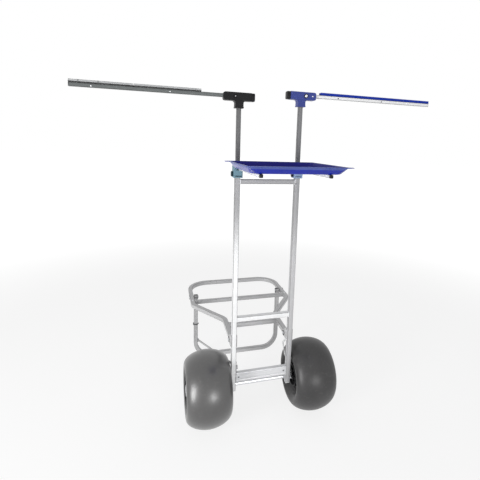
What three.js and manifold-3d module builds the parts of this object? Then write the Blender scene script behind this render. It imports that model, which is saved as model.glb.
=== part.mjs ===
// Fishing trolley: a two-wheeled push trolley with a folding luggage cradle,
// telescoping handles that carry two long rod arms, and a lift-off bait tray.
//
// Millimetres, +Z up, +X to the right, +Y forwards from the uprights to the cradle.
// Sizes are written for a frame whose origin lies on the ground midway between the
// uprights. The whole trolley is then moved so that the origin is the centre of its
// plan, on the ground.

import * as THREE from 'three';
import { mergeVertices } from 'three/addons/utils/BufferGeometryUtils.js';
import Module from 'manifold-3d';

const wasm = await Module();
wasm.setup();

// Clearances and small common sizes
const fitGap = 0.3;
const runningGap = 0.6;
const cutOverrun = 2;
const weldDistance = 0.0001;
const edgeCorner = 1.5;

// Square tube of the upright frame
const tubeSide = 20;
const tubeWall = 1.5;
const uprightSpacing = 240;
const uprightBottom = 140;
const footPlugHeight = 4;
const footPlugSpigot = 22;

// Cross members of the upright frame
const topBarHeight = 18;
const topBarDrop = 15;
const midBarHeight = 20;
const midBarCentre = 454;
const beamBottom = 177;
const beamHeight = 40;
const beamWall = 2;
const beamRibPitch = 10;
const beamRibDepth = 1;
const beamRibWidth = 5;
const beamHoleInset = 12;
const beamHoleRadius = 3;

// Axle
const axleRadius = 10;
const axleWall = 2;
const axleCentreHeight = 151;
const axleSaddleWidth = 18;
const axleSaddleWeb = 2;
const axleCollarRadius = 15;
const axleCollarWidth = 9;
const axleClipRadius = 16;
const axleClipWidth = 3;
const axleClipInset = 4;

// Wheels
const wheelCentre = 224;
const wheelRadius = 151;
const tyreHalfWidth = 90;
const tyreBoreRadius = 56;
const tyreBeadHalfWidth = 50;
const tyreRoundness = 1.9;
const tyreShoulderAngle = 0.3 * Math.PI;
const hubFlangeRadius = 66;
const hubFlangeStart = 70;
const hubFlangeEnd = 88;
const hubBossRadius = 48;
const hubBossEnd = 75;
const hubRecessRadius = 24;
const hubRecessFloor = 66;
const hubDishRadius = 56;
const hubDishDepth = 6;
const hubCapRadius = 30;
const hubCapThickness = 5;
const hubCapSpigot = 5;

// Collars at the tops of the uprights
const collarSide = 40;
const collarHeight = 44;
const collarLip = 8;
const collarCorner = 4;
const knobHeight = 1041;
const knobRise = 14;
const knobRadius = 11;
const knobThickness = 8;
const knobShankRadius = 4;
const knobGripCount = 6;
const knobGripDepth = 1.6;
const knobWay = -1;

// Telescoping handle tubes
const innerSide = 16;
const innerWall = 1.3;
const innerLength = 700;
const innerHoleRadius = 2.5;
const innerHoleDrops = [42, 135];

// Tees on the handle tubes
const teeTops = { left: 1335, right: 1354 };
const teeBarHeight = 29;
const teeDepth = 28;
const teeOuterReach = 58;
const teeInnerReach = 45;
const teeStemWidth = 30;
const teeHeight = 55;
const teeFillet = 9;
const teeEndCorner = 7;
const teeCapWidth = 12.7;
const teeCapSpigot = 10;
const teeScrewOffset = 16;
const teeScrewShankRadius = 3;
const teeScrewHeadRadii = { left: 6, right: 8 };
const teeScrewHeadThickness = 4;
const teeScrewSlotWidth = 1.6;
const teeScrewSlotDepth = 1.2;

// Rod arms
const armReaches = { left: 677, right: 697 };
const stripStarts = { left: 256, right: 199 };
const armEndCapWidth = 6;
const armEndCapSpigot = 12;
const stripWidth = 18;
const stripHeight = 10;
const stripGrooveWidth = 9;
const stripGrooveDepth = 3;
const stripEndInset = 10;

// Bait tray
const trayWidth = 340;
const trayLength = 310;
const trayOffset = 6;
const trayRimRise = 20;
const trayDepth = 24;
const trayWall = 2.5;
const trayTaper = 16;
const trayCorner = 10;
const trayLipWidth = 5;
const trayLipHeight = 3;
const trayTabLength = 24;
const trayTabWidth = 14;
const trayCollarGap = 4;
const trayArmOffset = 114;
const trayArmWidth = 11;
const trayArmHeight = 11;
const trayArmSocket = 8;
const trayCapLength = 10;
const trayCapOverlap = 3;

// Cradle: one bent square tube lying flat, with two cross members
const railHalf = 10;
const railWall = 1.5;
const cradleHeight = 347;
const pivotForward = 40;
const railEnd = 20;
const railInnerCorner = 211;
const railOuterCorner = 392;
const cradleFar = 684;
const railBendRadius = 50;
const cradleBendRadius = 100;
const lowCrossForward = 156;
const secondBarForward = 432;
const secondBarSide = 18;
const secondBarEndSide = 20;
const secondBarEndLength = 5;

// Cradle brackets on the uprights
const cheekThickness = 2.2;
const cheekBack = -8;
const cheekBottom = 345.5;
const cheekTop = 385;
const cheekShoulder = 16;
const cheekNoseRadius = 12;
const bracketWeb = 2.2;
const bracketRivetRadius = 4.5;
const bracketRivetHeight = 1.8;
const bracketRivetInset = 10;
const pivotBoltRadius = 4;
const pivotBoltHeadRadius = 7;
const pivotBoltHeadThickness = 4;

// Leg frame
const legForward = 495;
const legHalfSpacing = 225.5;
const legSideGap = 1.5;
const legBendRadius = 80;
const legTopRise = 11;
const legHoleRadius = 3;
const legHoleDrop = 32;
const studHeight = 99;
const studRadius = 4;
const studHeadRadius = 6;
const studHeadThickness = 3;
const clipHeight = 196;
const clipPinRadius = 3;
const clipHeadSide = 11;
const clipHeadThickness = 4;
const clipPinOverhang = 6;

// Stay between the left leg and the left upright
const stayThickness = 5;
const stayWidth = 10;
const stayEyeRadius = 9;
const stayEyeStart = 7;
const stayRearOffset = 100;
const stayRearForward = 22;
const stayRearHeight = 226;
const stayPinRadius = 4;
const lugThickness = 2.4;
const lugBack = -7;
const lugFront = 26;
const lugBottom = 219;
const lugTop = 248;
const lugCorner = 6;

// Buffers and keeper hooks on the uprights
const bufferWidth = 14;
const bufferThickness = 7.7;
const bufferBottom = 199;
const bufferHeight = 72;
const hookThickness = 3.4;
const hookBack = -7;
const hookFront = 48;
const hookBottom = 257;
const hookTop = 341;
const hookStrap = 7;

// How finely round things are faceted
const tubeArcs = 6;
const cornerArcs = 1;
const pinSides = 12;
const wheelSides = 36;
const bendSteps = 5;

const quarterTurn = Math.PI / 2;
const sides = [
  { name: 'left', sign: -1 },
  { name: 'right', sign: 1 },
];

// Materials
const finish = (color, roughness, metalness) =>
  new THREE.MeshStandardMaterial({ color, roughness, metalness });
const aluminium = finish(0xb9bbbd, 0.45, 0.8);
const greyTube = finish(0x8d9092, 0.5, 0.7);
const darkTube = finish(0x77797c, 0.5, 0.7);
const steel = finish(0xc9cbcc, 0.3, 0.95);
const tyreRubber = finish(0x55575a, 0.8, 0);
const blackPlastic = finish(0x1d1d1f, 0.55, 0);
const blackRubber = finish(0x202022, 0.85, 0);
const palePlastic = finish(0xd5d7d8, 0.6, 0);
const collarPlastics = { left: finish(0x648c9b, 0.5, 0), right: finish(0x788caa, 0.5, 0) };
const teePlastics = { left: finish(0x28282a, 0.5, 0), right: finish(0x3c468c, 0.5, 0) };
const stripPlastics = { left: finish(0x8a8c8e, 0.8, 0), right: finish(0x2a44b4, 0.7, 0) };
const trayPlastic = finish(0x27329a, 0.35, 0);

// Solids: closed meshes joined and cut with one another

function toSolid(geometry) {
  const bare = geometry.clone();
  bare.deleteAttribute('normal');
  bare.deleteAttribute('uv');
  const welded = mergeVertices(bare, weldDistance);
  return new wasm.Manifold(new wasm.Mesh({
    numProp: 3,
    vertProperties: Float32Array.from(welded.attributes.position.array),
    triVerts: Uint32Array.from(welded.index.array),
  }));
}

function toGeometry(solid) {
  const mesh = solid.getMesh();
  const geometry = new THREE.BufferGeometry();
  geometry.setAttribute('position', new THREE.BufferAttribute(mesh.vertProperties, mesh.numProp));
  geometry.setIndex(new THREE.BufferAttribute(mesh.triVerts, 1));
  geometry.computeVertexNormals();
  return geometry;
}

function join(first, ...others) {
  let solid = toSolid(first);
  for (const other of others) solid = solid.add(toSolid(other));
  return toGeometry(solid);
}

function cut(body, ...tools) {
  let solid = toSolid(body);
  for (const tool of tools) solid = solid.subtract(toSolid(tool));
  return toGeometry(solid);
}

// Boxes and rods are centred on their own middle, then moved

function box(width, depth, height, x, y, z) {
  return new THREE.BoxGeometry(width, depth, height).translate(x, y, z);
}

function rodAlongX(radius, length, x, y, z, facets = pinSides) {
  return new THREE.CylinderGeometry(radius, radius, length, facets)
    .rotateZ(quarterTurn).translate(x, y, z);
}

function rodAlongY(radius, length, x, y, z, facets = pinSides) {
  return new THREE.CylinderGeometry(radius, radius, length, facets).translate(x, y, z);
}

function roundedRectangle(path, width, height, corner) {
  const x = width / 2 - corner;
  const y = height / 2 - corner;
  path.absarc(x, y, corner, 0, quarterTurn);
  path.absarc(-x, y, corner, quarterTurn, 2 * quarterTurn);
  path.absarc(-x, -y, corner, 2 * quarterTurn, 3 * quarterTurn);
  path.absarc(x, -y, corner, 3 * quarterTurn, 4 * quarterTurn);
  path.closePath();
  return path;
}

// A prism of a plan outline, standing from z = 0 to its length
function prism(shape, length, arcs = 1) {
  return new THREE.ExtrudeGeometry(shape, {
    depth: length, steps: 1, bevelEnabled: false, curveSegments: arcs,
  });
}

function squareTube(width, height, wall, length) {
  const shape = roundedRectangle(new THREE.Shape(), width, height, edgeCorner);
  const bore = roundedRectangle(new THREE.Path(), width - 2 * wall, height - 2 * wall, edgeCorner / 2);
  shape.holes.push(bore);
  return prism(shape, length);
}

// An outline drawn as (forward, up), made a plate that faces along X
function sidePlate(shape, thickness, x, arcs = 4) {
  return prism(shape, thickness, arcs)
    .rotateZ(quarterTurn).rotateY(quarterTurn)
    .translate(x - thickness / 2, 0, 0);
}

// A polyline with rounded corners. It gives one section at each end of every straight
// run and a few round each bend.
class BentLine extends THREE.Curve {
  constructor(corners, radii) {
    super();
    this.stations = [corners[0]];
    for (let i = 1; i < corners.length - 1; i += 1) this.addBend(corners, radii[i - 1], i);
    this.stations.push(corners[corners.length - 1]);
  }

  addBend(corners, radius, i) {
    const arriving = corners[i].clone().sub(corners[i - 1]).normalize();
    const leaving = corners[i + 1].clone().sub(corners[i]).normalize();
    const turn = arriving.angleTo(leaving);
    const inward = leaving.clone().sub(arriving).normalize();
    const centre = corners[i].clone().addScaledVector(inward, radius / Math.cos(turn / 2));
    const along = leaving.clone().add(arriving).normalize();
    const steps = Math.max(2, Math.round(bendSteps * turn / quarterTurn));
    for (let step = 0; step <= steps; step += 1) {
      const angle = turn * (step / steps - 1 / 2);
      this.stations.push(centre.clone()
        .addScaledVector(inward, -radius * Math.cos(angle))
        .addScaledVector(along, radius * Math.sin(angle)));
    }
  }

  getPoint(share) {
    return this.stations[Math.round(share * (this.stations.length - 1))].clone();
  }

  getTangentAt(share) {
    const last = this.stations.length - 1;
    const index = Math.round(share * last);
    const before = this.stations[Math.max(index - 1, 0)];
    const here = this.stations[index];
    const after = this.stations[Math.min(index + 1, last)];
    const arriving = here.clone().sub(before).normalize();
    const leaving = after.clone().sub(here).normalize();
    return arriving.add(leaving).normalize();
  }

  getSpacedPoints() {
    return this.stations;
  }
}

function bentTube(corners, radii, side, wall) {
  const line = new BentLine(corners, radii);
  const boreSide = side - 2 * wall;
  const shape = roundedRectangle(new THREE.Shape(), side, side, edgeCorner);
  shape.holes.push(roundedRectangle(new THREE.Path(), boreSide, boreSide, edgeCorner / 2));
  return new THREE.ExtrudeGeometry(shape, {
    steps: line.stations.length - 1,
    extrudePath: line,
    curveSegments: cornerArcs,
  });
}

// A headed pin along X: head, shank of the grip's length, and an equal nut
function boltAlongX(shankRadius, headRadius, headThickness, grip) {
  const half = grip / 2;
  const end = half + headThickness;
  const profile = [
    new THREE.Vector2(0, -end),
    new THREE.Vector2(headRadius, -end),
    new THREE.Vector2(headRadius, -half),
    new THREE.Vector2(shankRadius, -half),
    new THREE.Vector2(shankRadius, half),
    new THREE.Vector2(headRadius, half),
    new THREE.Vector2(headRadius, end),
    new THREE.Vector2(0, end),
  ];
  return new THREE.LatheGeometry(profile, pinSides).rotateZ(-quarterTurn);
}

// A ring or disc turned about X. Its profile is listed as [along, radius] pairs, from
// the wheel's inner side outwards.
function turned(profile, sign, facets = wheelSides) {
  const points = profile.map(([along, radius]) => new THREE.Vector2(radius, along));
  const body = new THREE.LatheGeometry(points, facets).rotateZ(-quarterTurn);
  return sign > 0 ? body : body.rotateZ(2 * quarterTurn);
}

const trolley = new THREE.Group();
const build = new THREE.Group();
const planCentreX = (armReaches.right - armReaches.left) / 2;
const trayBack = collarSide / 2 + trayCollarGap;
const planCentreY = (cradleFar + railHalf - trayBack - trayLength) / 2;
build.position.set(-planCentreX, -planCentreY, 0);
trolley.add(build);

function place(name, geometry, material, x = 0, y = 0, z = 0) {
  const mesh = new THREE.Mesh(geometry, material);
  mesh.name = name;
  mesh.position.set(x, y, z);
  build.add(mesh);
  return mesh;
}

// Places worked out from the sizes
const halfSpacing = uprightSpacing / 2;
const halfTube = tubeSide / 2;
const tubeBore = tubeSide - 2 * tubeWall;
const collarBottom = knobHeight - knobRise;
const collarTop = collarBottom + collarHeight;
const topBarCentre = collarBottom - topBarDrop;
const uprightTop = collarTop - collarLip - fitGap;
const axleForward = halfTube + axleSaddleWeb + axleRadius;
const innerBetween = uprightSpacing - tubeSide - 2 * fitGap;
const railHalfSpacing = legHalfSpacing + 2 * railHalf + legSideGap;
const trayRimHeight = collarTop + trayRimRise;
const trayFloor = trayRimHeight - trayDepth;
const trayArmTop = trayFloor - fitGap;
const trayArmCentre = trayArmTop - trayArmHeight / 2;
const axleEnd = wheelCentre + hubRecessFloor + runningGap + axleClipWidth + axleClipInset;

// Uprights with their foot plugs. The knob's shank passes through the wall on its side.
function upright() {
  const body = squareTube(tubeSide, tubeSide, tubeWall, uprightTop - uprightBottom)
    .translate(0, 0, uprightBottom);
  const wallHole = rodAlongX(
    knobShankRadius + fitGap, tubeWall + 2 * cutOverrun,
    knobWay * (halfTube - tubeWall / 2), 0, knobHeight,
  );
  return cut(body, wallHole);
}

function footPlug() {
  const foot = prism(
    roundedRectangle(new THREE.Shape(), tubeSide, tubeSide, edgeCorner), footPlugHeight,
  );
  const spigotSide = tubeBore - 2 * fitGap;
  const spigot = box(
    spigotSide, spigotSide, footPlugSpigot + footPlugHeight / 2,
    0, 0, footPlugHeight / 2 + (footPlugSpigot + footPlugHeight / 2) / 2,
  );
  return join(foot, spigot);
}

for (const { name, sign } of sides) {
  place(`upright_${name}`, upright(), aluminium, sign * halfSpacing);
  place(
    `foot_plug_${name}`, footPlug(), palePlastic,
    sign * halfSpacing, 0, uprightBottom - fitGap - footPlugHeight,
  );
}

// Cross bars between the uprights, and a square tube that lies along X
function crossBar(height) {
  return squareTube(height, tubeSide, tubeWall, innerBetween)
    .rotateY(quarterTurn).translate(-innerBetween / 2, 0, 0);
}

function crossTube(side, length, wall) {
  return squareTube(side, side, wall, length).rotateY(quarterTurn).translate(-length / 2, 0, 0);
}
place('top_bar', crossBar(topBarHeight), aluminium, 0, 0, topBarCentre);
place('mid_bar', crossBar(midBarHeight), aluminium, 0, 0, midBarCentre);

// Axle beam: a deep box section with a ribbed back face
function axleBeam() {
  const body = squareTube(beamHeight, tubeSide, beamWall, innerBetween)
    .rotateY(quarterTurn).translate(-innerBetween / 2, 0, 0);
  const cuts = [];
  const ribCount = Math.floor(beamHeight / beamRibPitch) - 1;
  for (let i = 0; i < ribCount; i += 1) {
    const rise = (i - (ribCount - 1) / 2) * beamRibPitch;
    cuts.push(box(
      innerBetween + 2 * cutOverrun, 2 * beamRibDepth, beamRibWidth,
      0, -halfTube, rise,
    ));
  }
  for (const { sign } of sides) {
    cuts.push(rodAlongY(
      beamHoleRadius, beamWall + 2 * cutOverrun,
      sign * (innerBetween / 2 - beamHoleInset), -halfTube + beamWall / 2, 0,
    ));
  }
  return cut(body, ...cuts);
}
place('axle_beam', axleBeam(), greyTube, 0, 0, beamBottom + beamHeight / 2);

// Axle tube, held in front of the uprights by two welded saddles
function axleTube() {
  const tube = rodAlongX(axleRadius, 2 * axleEnd, 0, 0, 0, 2 * pinSides);
  const saddleDepth = axleRadius + axleSaddleWeb - fitGap;
  const saddles = sides.map(({ sign }) => box(
    axleSaddleWidth, saddleDepth, 2 * axleRadius,
    sign * halfSpacing, -saddleDepth / 2, 0,
  ));
  const bore = rodAlongX(axleRadius - axleWall, 2 * axleEnd + cutOverrun, 0, 0, 0, 2 * pinSides);
  return cut(join(tube, ...saddles), bore);
}
place('axle_tube', axleTube(), steel, 0, axleForward, axleCentreHeight);

// Wheels: balloon tyre, hub, hub cap, and the collar and clip that keep them on the axle
function tyreProfile() {
  const midRadius = (wheelRadius + tyreBoreRadius) / 2;
  const halfHeight = (wheelRadius - tyreBoreRadius) / 2;
  const power = 2 / tyreRoundness;
  const rounded = (value) => Math.sign(value) * Math.abs(value) ** power;
  const steps = 16;
  const sweep = 2 * quarterTurn + 2 * tyreShoulderAngle;
  const profile = [[-tyreBeadHalfWidth, tyreBoreRadius]];
  for (let i = 0; i <= steps; i += 1) {
    const angle = -tyreShoulderAngle + sweep * i / steps;
    profile.push([
      -tyreHalfWidth * rounded(Math.cos(angle)),
      midRadius + halfHeight * rounded(Math.sin(angle)),
    ]);
  }
  profile.push([tyreBeadHalfWidth, tyreBoreRadius]);
  profile.push([-tyreBeadHalfWidth, tyreBoreRadius]);
  return profile;
}

const hubBore = axleRadius + runningGap;
const hubDrum = tyreBoreRadius - fitGap;
const hubProfile = [
  [-hubBossEnd, hubBore],
  [-hubBossEnd, hubBossRadius],
  [-tyreBeadHalfWidth, hubBossRadius],
  [-tyreBeadHalfWidth, hubDrum],
  [hubFlangeStart, hubDrum],
  [hubFlangeStart, hubFlangeRadius],
  [hubFlangeEnd, hubFlangeRadius],
  [hubFlangeEnd, hubDishRadius],
  [hubFlangeEnd - hubDishDepth, hubDishRadius - hubDishDepth],
  [hubFlangeEnd - hubDishDepth, hubRecessRadius],
  [hubRecessFloor, hubRecessRadius],
  [hubRecessFloor, hubBore],
  [-hubBossEnd, hubBore],
];
const capSeat = hubFlangeEnd - hubDishDepth + fitGap;
const hubCapProfile = [
  [capSeat - hubCapSpigot, 0],
  [capSeat - hubCapSpigot, hubRecessRadius - fitGap],
  [capSeat, hubRecessRadius - fitGap],
  [capSeat, hubCapRadius],
  [capSeat + hubCapThickness / 2, hubCapRadius],
  [capSeat + hubCapThickness, hubRecessRadius],
  [capSeat + hubCapThickness, 0],
];

function axleRing(outer, width) {
  const half = width / 2;
  const bore = axleRadius + fitGap;
  return turned([[-half, bore], [-half, outer], [half, outer], [half, bore], [-half, bore]],
    1, 2 * pinSides);
}

const collarCentre = wheelCentre - hubBossEnd - runningGap - axleCollarWidth / 2;
const clipCentre = wheelCentre + hubRecessFloor + runningGap + axleClipWidth / 2;
for (const { name, sign } of sides) {
  const wheelPlace = [sign * wheelCentre, axleForward, axleCentreHeight];
  place(`tyre_${name}`, turned(tyreProfile(), sign), tyreRubber, ...wheelPlace);
  place(`hub_${name}`, turned(hubProfile, sign), blackPlastic, ...wheelPlace);
  place(`hub_cap_${name}`, turned(hubCapProfile, sign, 2 * pinSides), steel, ...wheelPlace);
  place(
    `axle_collar_${name}`, axleRing(axleCollarRadius, axleCollarWidth), steel,
    sign * collarCentre, axleForward, axleCentreHeight,
  );
  place(
    `axle_clip_${name}`, axleRing(axleClipRadius, axleClipWidth), steel,
    sign * clipCentre, axleForward, axleCentreHeight,
  );
}

// Collars: each covers the top of its upright, guides the handle tube, holds one tray
// arm in a socket at the back and takes the clamp knob from the left side
function collar(sign) {
  const body = prism(
    roundedRectangle(new THREE.Shape(), collarSide, collarSide, collarCorner), collarHeight,
  );
  const uprightSpace = tubeSide + 2 * fitGap;
  const tubeSpace = innerSide + 2 * fitGap;
  const lowerHeight = uprightTop + fitGap - collarBottom;
  const lower = box(
    uprightSpace, uprightSpace, lowerHeight + cutOverrun,
    0, 0, (lowerHeight - cutOverrun) / 2,
  );
  const upper = box(
    tubeSpace, tubeSpace, collarHeight + 2 * cutOverrun, 0, 0, collarHeight / 2,
  );
  const socket = box(
    trayArmWidth + 2 * fitGap, trayArmSocket + cutOverrun, trayArmHeight + 2 * fitGap,
    sign * (trayArmOffset - halfSpacing),
    -collarSide / 2 + (trayArmSocket - cutOverrun) / 2,
    trayArmCentre - collarBottom,
  );
  const knobHole = rodAlongX(
    knobShankRadius + fitGap, collarSide / 2 + cutOverrun,
    knobWay * (collarSide / 2 + cutOverrun) / 2, 0, knobHeight - collarBottom,
  );
  return cut(body, lower, upper, socket, knobHole);
}

// Clamp knob: a gripped head outside the collar and a shank that reaches the handle tube
function collarKnob() {
  const headCentre = collarSide / 2 + fitGap + knobThickness / 2;
  const shankEnd = innerSide / 2 + fitGap;
  const shankLength = headCentre - shankEnd;
  const head = rodAlongX(knobRadius, knobThickness, 0, 0, 0, 2 * pinSides);
  const shank = rodAlongX(knobShankRadius, shankLength, -knobWay * shankLength / 2, 0, 0);
  const grips = [];
  for (let i = 0; i < knobGripCount; i += 1) {
    const angle = 4 * quarterTurn * i / knobGripCount;
    grips.push(rodAlongX(
      2 * knobGripDepth, knobThickness + 2 * cutOverrun,
      0, (knobRadius + knobGripDepth / 2) * Math.cos(angle),
      (knobRadius + knobGripDepth / 2) * Math.sin(angle), pinSides / 2,
    ));
  }
  return { geometry: join(cut(head, ...grips), shank), offset: headCentre };
}

for (const { name, sign } of sides) {
  place(`collar_${name}`, collar(sign), collarPlastics[name], sign * halfSpacing, 0, collarBottom);
  const knob = collarKnob();
  place(
    `collar_knob_${name}`, knob.geometry, blackPlastic,
    sign * halfSpacing + knobWay * knob.offset, 0, knobHeight,
  );
}

// Handles: tube, tee, tee cap and clamp screw. The tee is drawn facing the user.
const teeCentres = {};
for (const { name } of sides) teeCentres[name] = teeTops[name] - teeBarHeight / 2;

function teeShape(sign) {
  const top = teeBarHeight / 2;
  const bottom = -top;
  const foot = top - teeHeight;
  const halfStem = teeStemWidth / 2;
  const shape = new THREE.Shape();
  shape.moveTo(-teeInnerReach, top);
  shape.lineTo(-teeInnerReach, bottom);
  shape.lineTo(-halfStem - teeFillet, bottom);
  shape.absarc(-halfStem - teeFillet, bottom - teeFillet, teeFillet, quarterTurn, 0, true);
  shape.lineTo(-halfStem, foot);
  shape.lineTo(halfStem, foot);
  shape.lineTo(halfStem, bottom - teeFillet);
  shape.absarc(
    halfStem + teeFillet, bottom - teeFillet, teeFillet, 2 * quarterTurn, quarterTurn, true,
  );
  shape.lineTo(teeOuterReach - teeEndCorner, bottom);
  shape.absarc(
    teeOuterReach - teeEndCorner, bottom + teeEndCorner, teeEndCorner,
    -quarterTurn, 0, false,
  );
  shape.absarc(
    teeOuterReach - teeEndCorner, top - teeEndCorner, teeEndCorner, 0, quarterTurn, false,
  );
  shape.closePath();
  const body = prism(shape, teeDepth, 2)
    .rotateX(quarterTurn).translate(0, teeDepth / 2, 0);
  return sign > 0 ? body : body.rotateZ(2 * quarterTurn);
}

function tee(sign) {
  const space = innerSide + 2 * fitGap;
  const length = teeOuterReach + teeInnerReach + 2 * cutOverrun;
  const armBore = box(
    length, space, space, sign * (teeOuterReach - teeInnerReach) / 2, 0, 0,
  );
  const stemDepth = teeHeight - teeBarHeight / 2 + cutOverrun;
  const tubeBoreBox = box(space, space, stemDepth, 0, 0, -stemDepth / 2);
  const screwHole = rodAlongY(
    teeScrewShankRadius + fitGap, teeDepth / 2, sign * teeScrewOffset, -teeDepth / 2, 0,
  );
  return cut(teeShape(sign), armBore, tubeBoreBox, screwHole);
}

function teeCap(sign) {
  const cap = prism(
    roundedRectangle(new THREE.Shape(), teeBarHeight, teeDepth, teeEndCorner), teeCapWidth,
  ).rotateY(quarterTurn).translate(-teeCapWidth / 2, 0, 0);
  const spigotLength = teeCapSpigot + fitGap + teeCapWidth / 2;
  const spigot = box(innerSide, innerSide, innerSide, 0, 0, 0)
    .scale(spigotLength / innerSide, 1, 1).translate(sign * spigotLength / 2, 0, 0);
  return join(cap, spigot);
}

function teeScrew(headRadius) {
  const shankLength = teeDepth / 2 - innerSide / 2;
  const head = rodAlongY(headRadius, teeScrewHeadThickness, 0, 0, 0, 2 * pinSides);
  const slot = box(
    2 * headRadius + cutOverrun, 2 * teeScrewSlotDepth, teeScrewSlotWidth,
    0, -teeScrewHeadThickness / 2, 0,
  );
  const shank = rodAlongY(
    teeScrewShankRadius, shankLength + teeScrewHeadThickness / 2,
    0, (shankLength + teeScrewHeadThickness / 2) / 2, 0,
  );
  return join(cut(head, slot), shank);
}

function innerTube(sign) {
  const body = squareTube(innerSide, innerSide, innerWall, innerLength).translate(0, 0, -innerLength);
  const holes = innerHoleDrops.map((drop) => rodAlongX(
    innerHoleRadius, innerWall + 2 * cutOverrun, -sign * (innerSide - innerWall) / 2, 0, -drop,
  ));
  return cut(body, ...holes);
}

const innerTopDrop = innerSide / 2 + 2 * fitGap;
for (const { name, sign } of sides) {
  const centre = teeCentres[name];
  const x = sign * halfSpacing;
  place(`handle_tube_${name}`, innerTube(sign), darkTube, x, 0, centre - innerTopDrop);
  place(`tee_${name}`, tee(sign), teePlastics[name], x, 0, centre);
  place(
    `tee_cap_${name}`, teeCap(sign), blackPlastic,
    sign * (halfSpacing - teeInnerReach - fitGap - teeCapWidth / 2), 0, centre,
  );
  place(
    `tee_screw_${name}`, teeScrew(teeScrewHeadRadii[name]), steel,
    sign * (halfSpacing + teeScrewOffset),
    -teeDepth / 2 - fitGap - teeScrewHeadThickness / 2, centre,
  );
}

// Rod arms: a square tube out of each tee, with a grooved rest strip along its top
function restStrip(length) {
  const shape = new THREE.Shape();
  const edge = stripWidth / 2 - edgeCorner;
  shape.moveTo(-stripWidth / 2, 0);
  shape.lineTo(stripWidth / 2, 0);
  shape.lineTo(stripWidth / 2, stripHeight - edgeCorner);
  shape.lineTo(edge, stripHeight);
  shape.lineTo(stripGrooveWidth / 2, stripHeight);
  shape.lineTo(0, stripHeight - stripGrooveDepth);
  shape.lineTo(-stripGrooveWidth / 2, stripHeight);
  shape.lineTo(-edge, stripHeight);
  shape.lineTo(-stripWidth / 2, stripHeight - edgeCorner);
  shape.closePath();
  return sidePlate(shape, length, 0);
}

function armEndCap(sign) {
  const plate = prism(
    roundedRectangle(new THREE.Shape(), innerSide, innerSide, edgeCorner), armEndCapWidth,
  ).rotateY(quarterTurn).translate(-armEndCapWidth / 2, 0, 0);
  const spigotSide = innerSide - 2 * innerWall - 2 * fitGap;
  const spigotLength = armEndCapSpigot + armEndCapWidth / 2;
  const spigot = box(
    spigotLength, spigotSide, spigotSide, -sign * spigotLength / 2, 0, 0,
  );
  return join(plate, spigot);
}

const armStart = halfSpacing - teeInnerReach + teeCapSpigot + fitGap;
for (const { name, sign } of sides) {
  const reach = armReaches[name];
  const tubeEnd = reach - armEndCapWidth - fitGap;
  const armLength = tubeEnd - armStart;
  const stripLength = reach - stripEndInset - stripStarts[name];
  const armGeometry = squareTube(innerSide, innerSide, innerWall, armLength)
    .rotateY(quarterTurn).translate(-armLength / 2, 0, 0);
  place(
    `arm_tube_${name}`, armGeometry, greyTube,
    sign * (armStart + armLength / 2), 0, teeCentres[name],
  );
  place(
    `rest_strip_${name}`, restStrip(stripLength), stripPlastics[name],
    sign * (stripStarts[name] + stripLength / 2), 0,
    teeCentres[name] + innerSide / 2 + fitGap,
  );
  place(
    `arm_end_cap_${name}`, armEndCap(sign), blackPlastic,
    sign * (reach - armEndCapWidth / 2), 0, teeCentres[name],
  );
}

// Tray: a shallow tapered dish with a flat rim and two small corner tabs
function taperedDish(width, length, corner, height, inset) {
  const body = prism(roundedRectangle(new THREE.Shape(), width, length, corner), height, 3);
  const places = body.attributes.position;
  for (let i = 0; i < places.count; i += 1) {
    const narrowing = inset * (1 - places.getZ(i) / height);
    const xShare = 1 - 2 * narrowing / width;
    const yShare = 1 - 2 * narrowing / length;
    places.setXY(i, places.getX(i) * xShare, places.getY(i) * yShare);
  }
  return body;
}

function tray() {
  const lipInside = 2 * trayLipWidth;
  const outer = taperedDish(
    trayWidth - lipInside, trayLength - lipInside, trayCorner - trayLipWidth, trayDepth, trayTaper,
  );
  const lip = prism(
    roundedRectangle(new THREE.Shape(), trayWidth, trayLength, trayCorner), trayLipHeight, 3,
  ).translate(0, 0, trayDepth - trayLipHeight);
  const insideDepth = trayDepth - trayWall;
  const inside = taperedDish(
    trayWidth - lipInside - 2 * trayWall, trayLength - lipInside - 2 * trayWall,
    trayCorner - trayLipWidth - trayWall, insideDepth + cutOverrun, trayTaper,
  ).translate(0, 0, trayWall);
  const tabs = sides.map(({ sign }) => box(
    trayTabLength, trayTabWidth, trayLipHeight,
    sign * trayWidth / 2, -sign * (trayLength / 2 - trayCorner - trayTabWidth / 2),
    trayDepth - trayLipHeight / 2,
  ));
  return cut(join(outer, lip, ...tabs), inside);
}
place('tray', tray(), trayPlastic, trayOffset, -trayBack - trayLength / 2, trayFloor);

// Tray arms with black end caps
const trayArmFront = collarSide / 2 - trayArmSocket + fitGap;
const trayCapFront = trayBack + trayLength - trayTaper;
const trayArmEnd = trayCapFront - trayCapLength + trayCapOverlap;
function trayArm() {
  const length = trayArmEnd - trayArmFront;
  const bar = box(
    trayArmWidth, length, trayArmHeight, 0, -(trayArmFront + trayArmEnd) / 2, 0,
  );
  const rebate = cut(
    box(
      trayArmWidth + cutOverrun, trayCapOverlap + cutOverrun, trayArmHeight + cutOverrun,
      0, -trayArmEnd + (trayCapOverlap - cutOverrun) / 2, 0,
    ),
    box(
      trayArmWidth / 2, 2 * trayCapLength, trayArmHeight / 2, 0, -trayArmEnd, 0,
    ),
  );
  return cut(bar, rebate);
}

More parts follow.
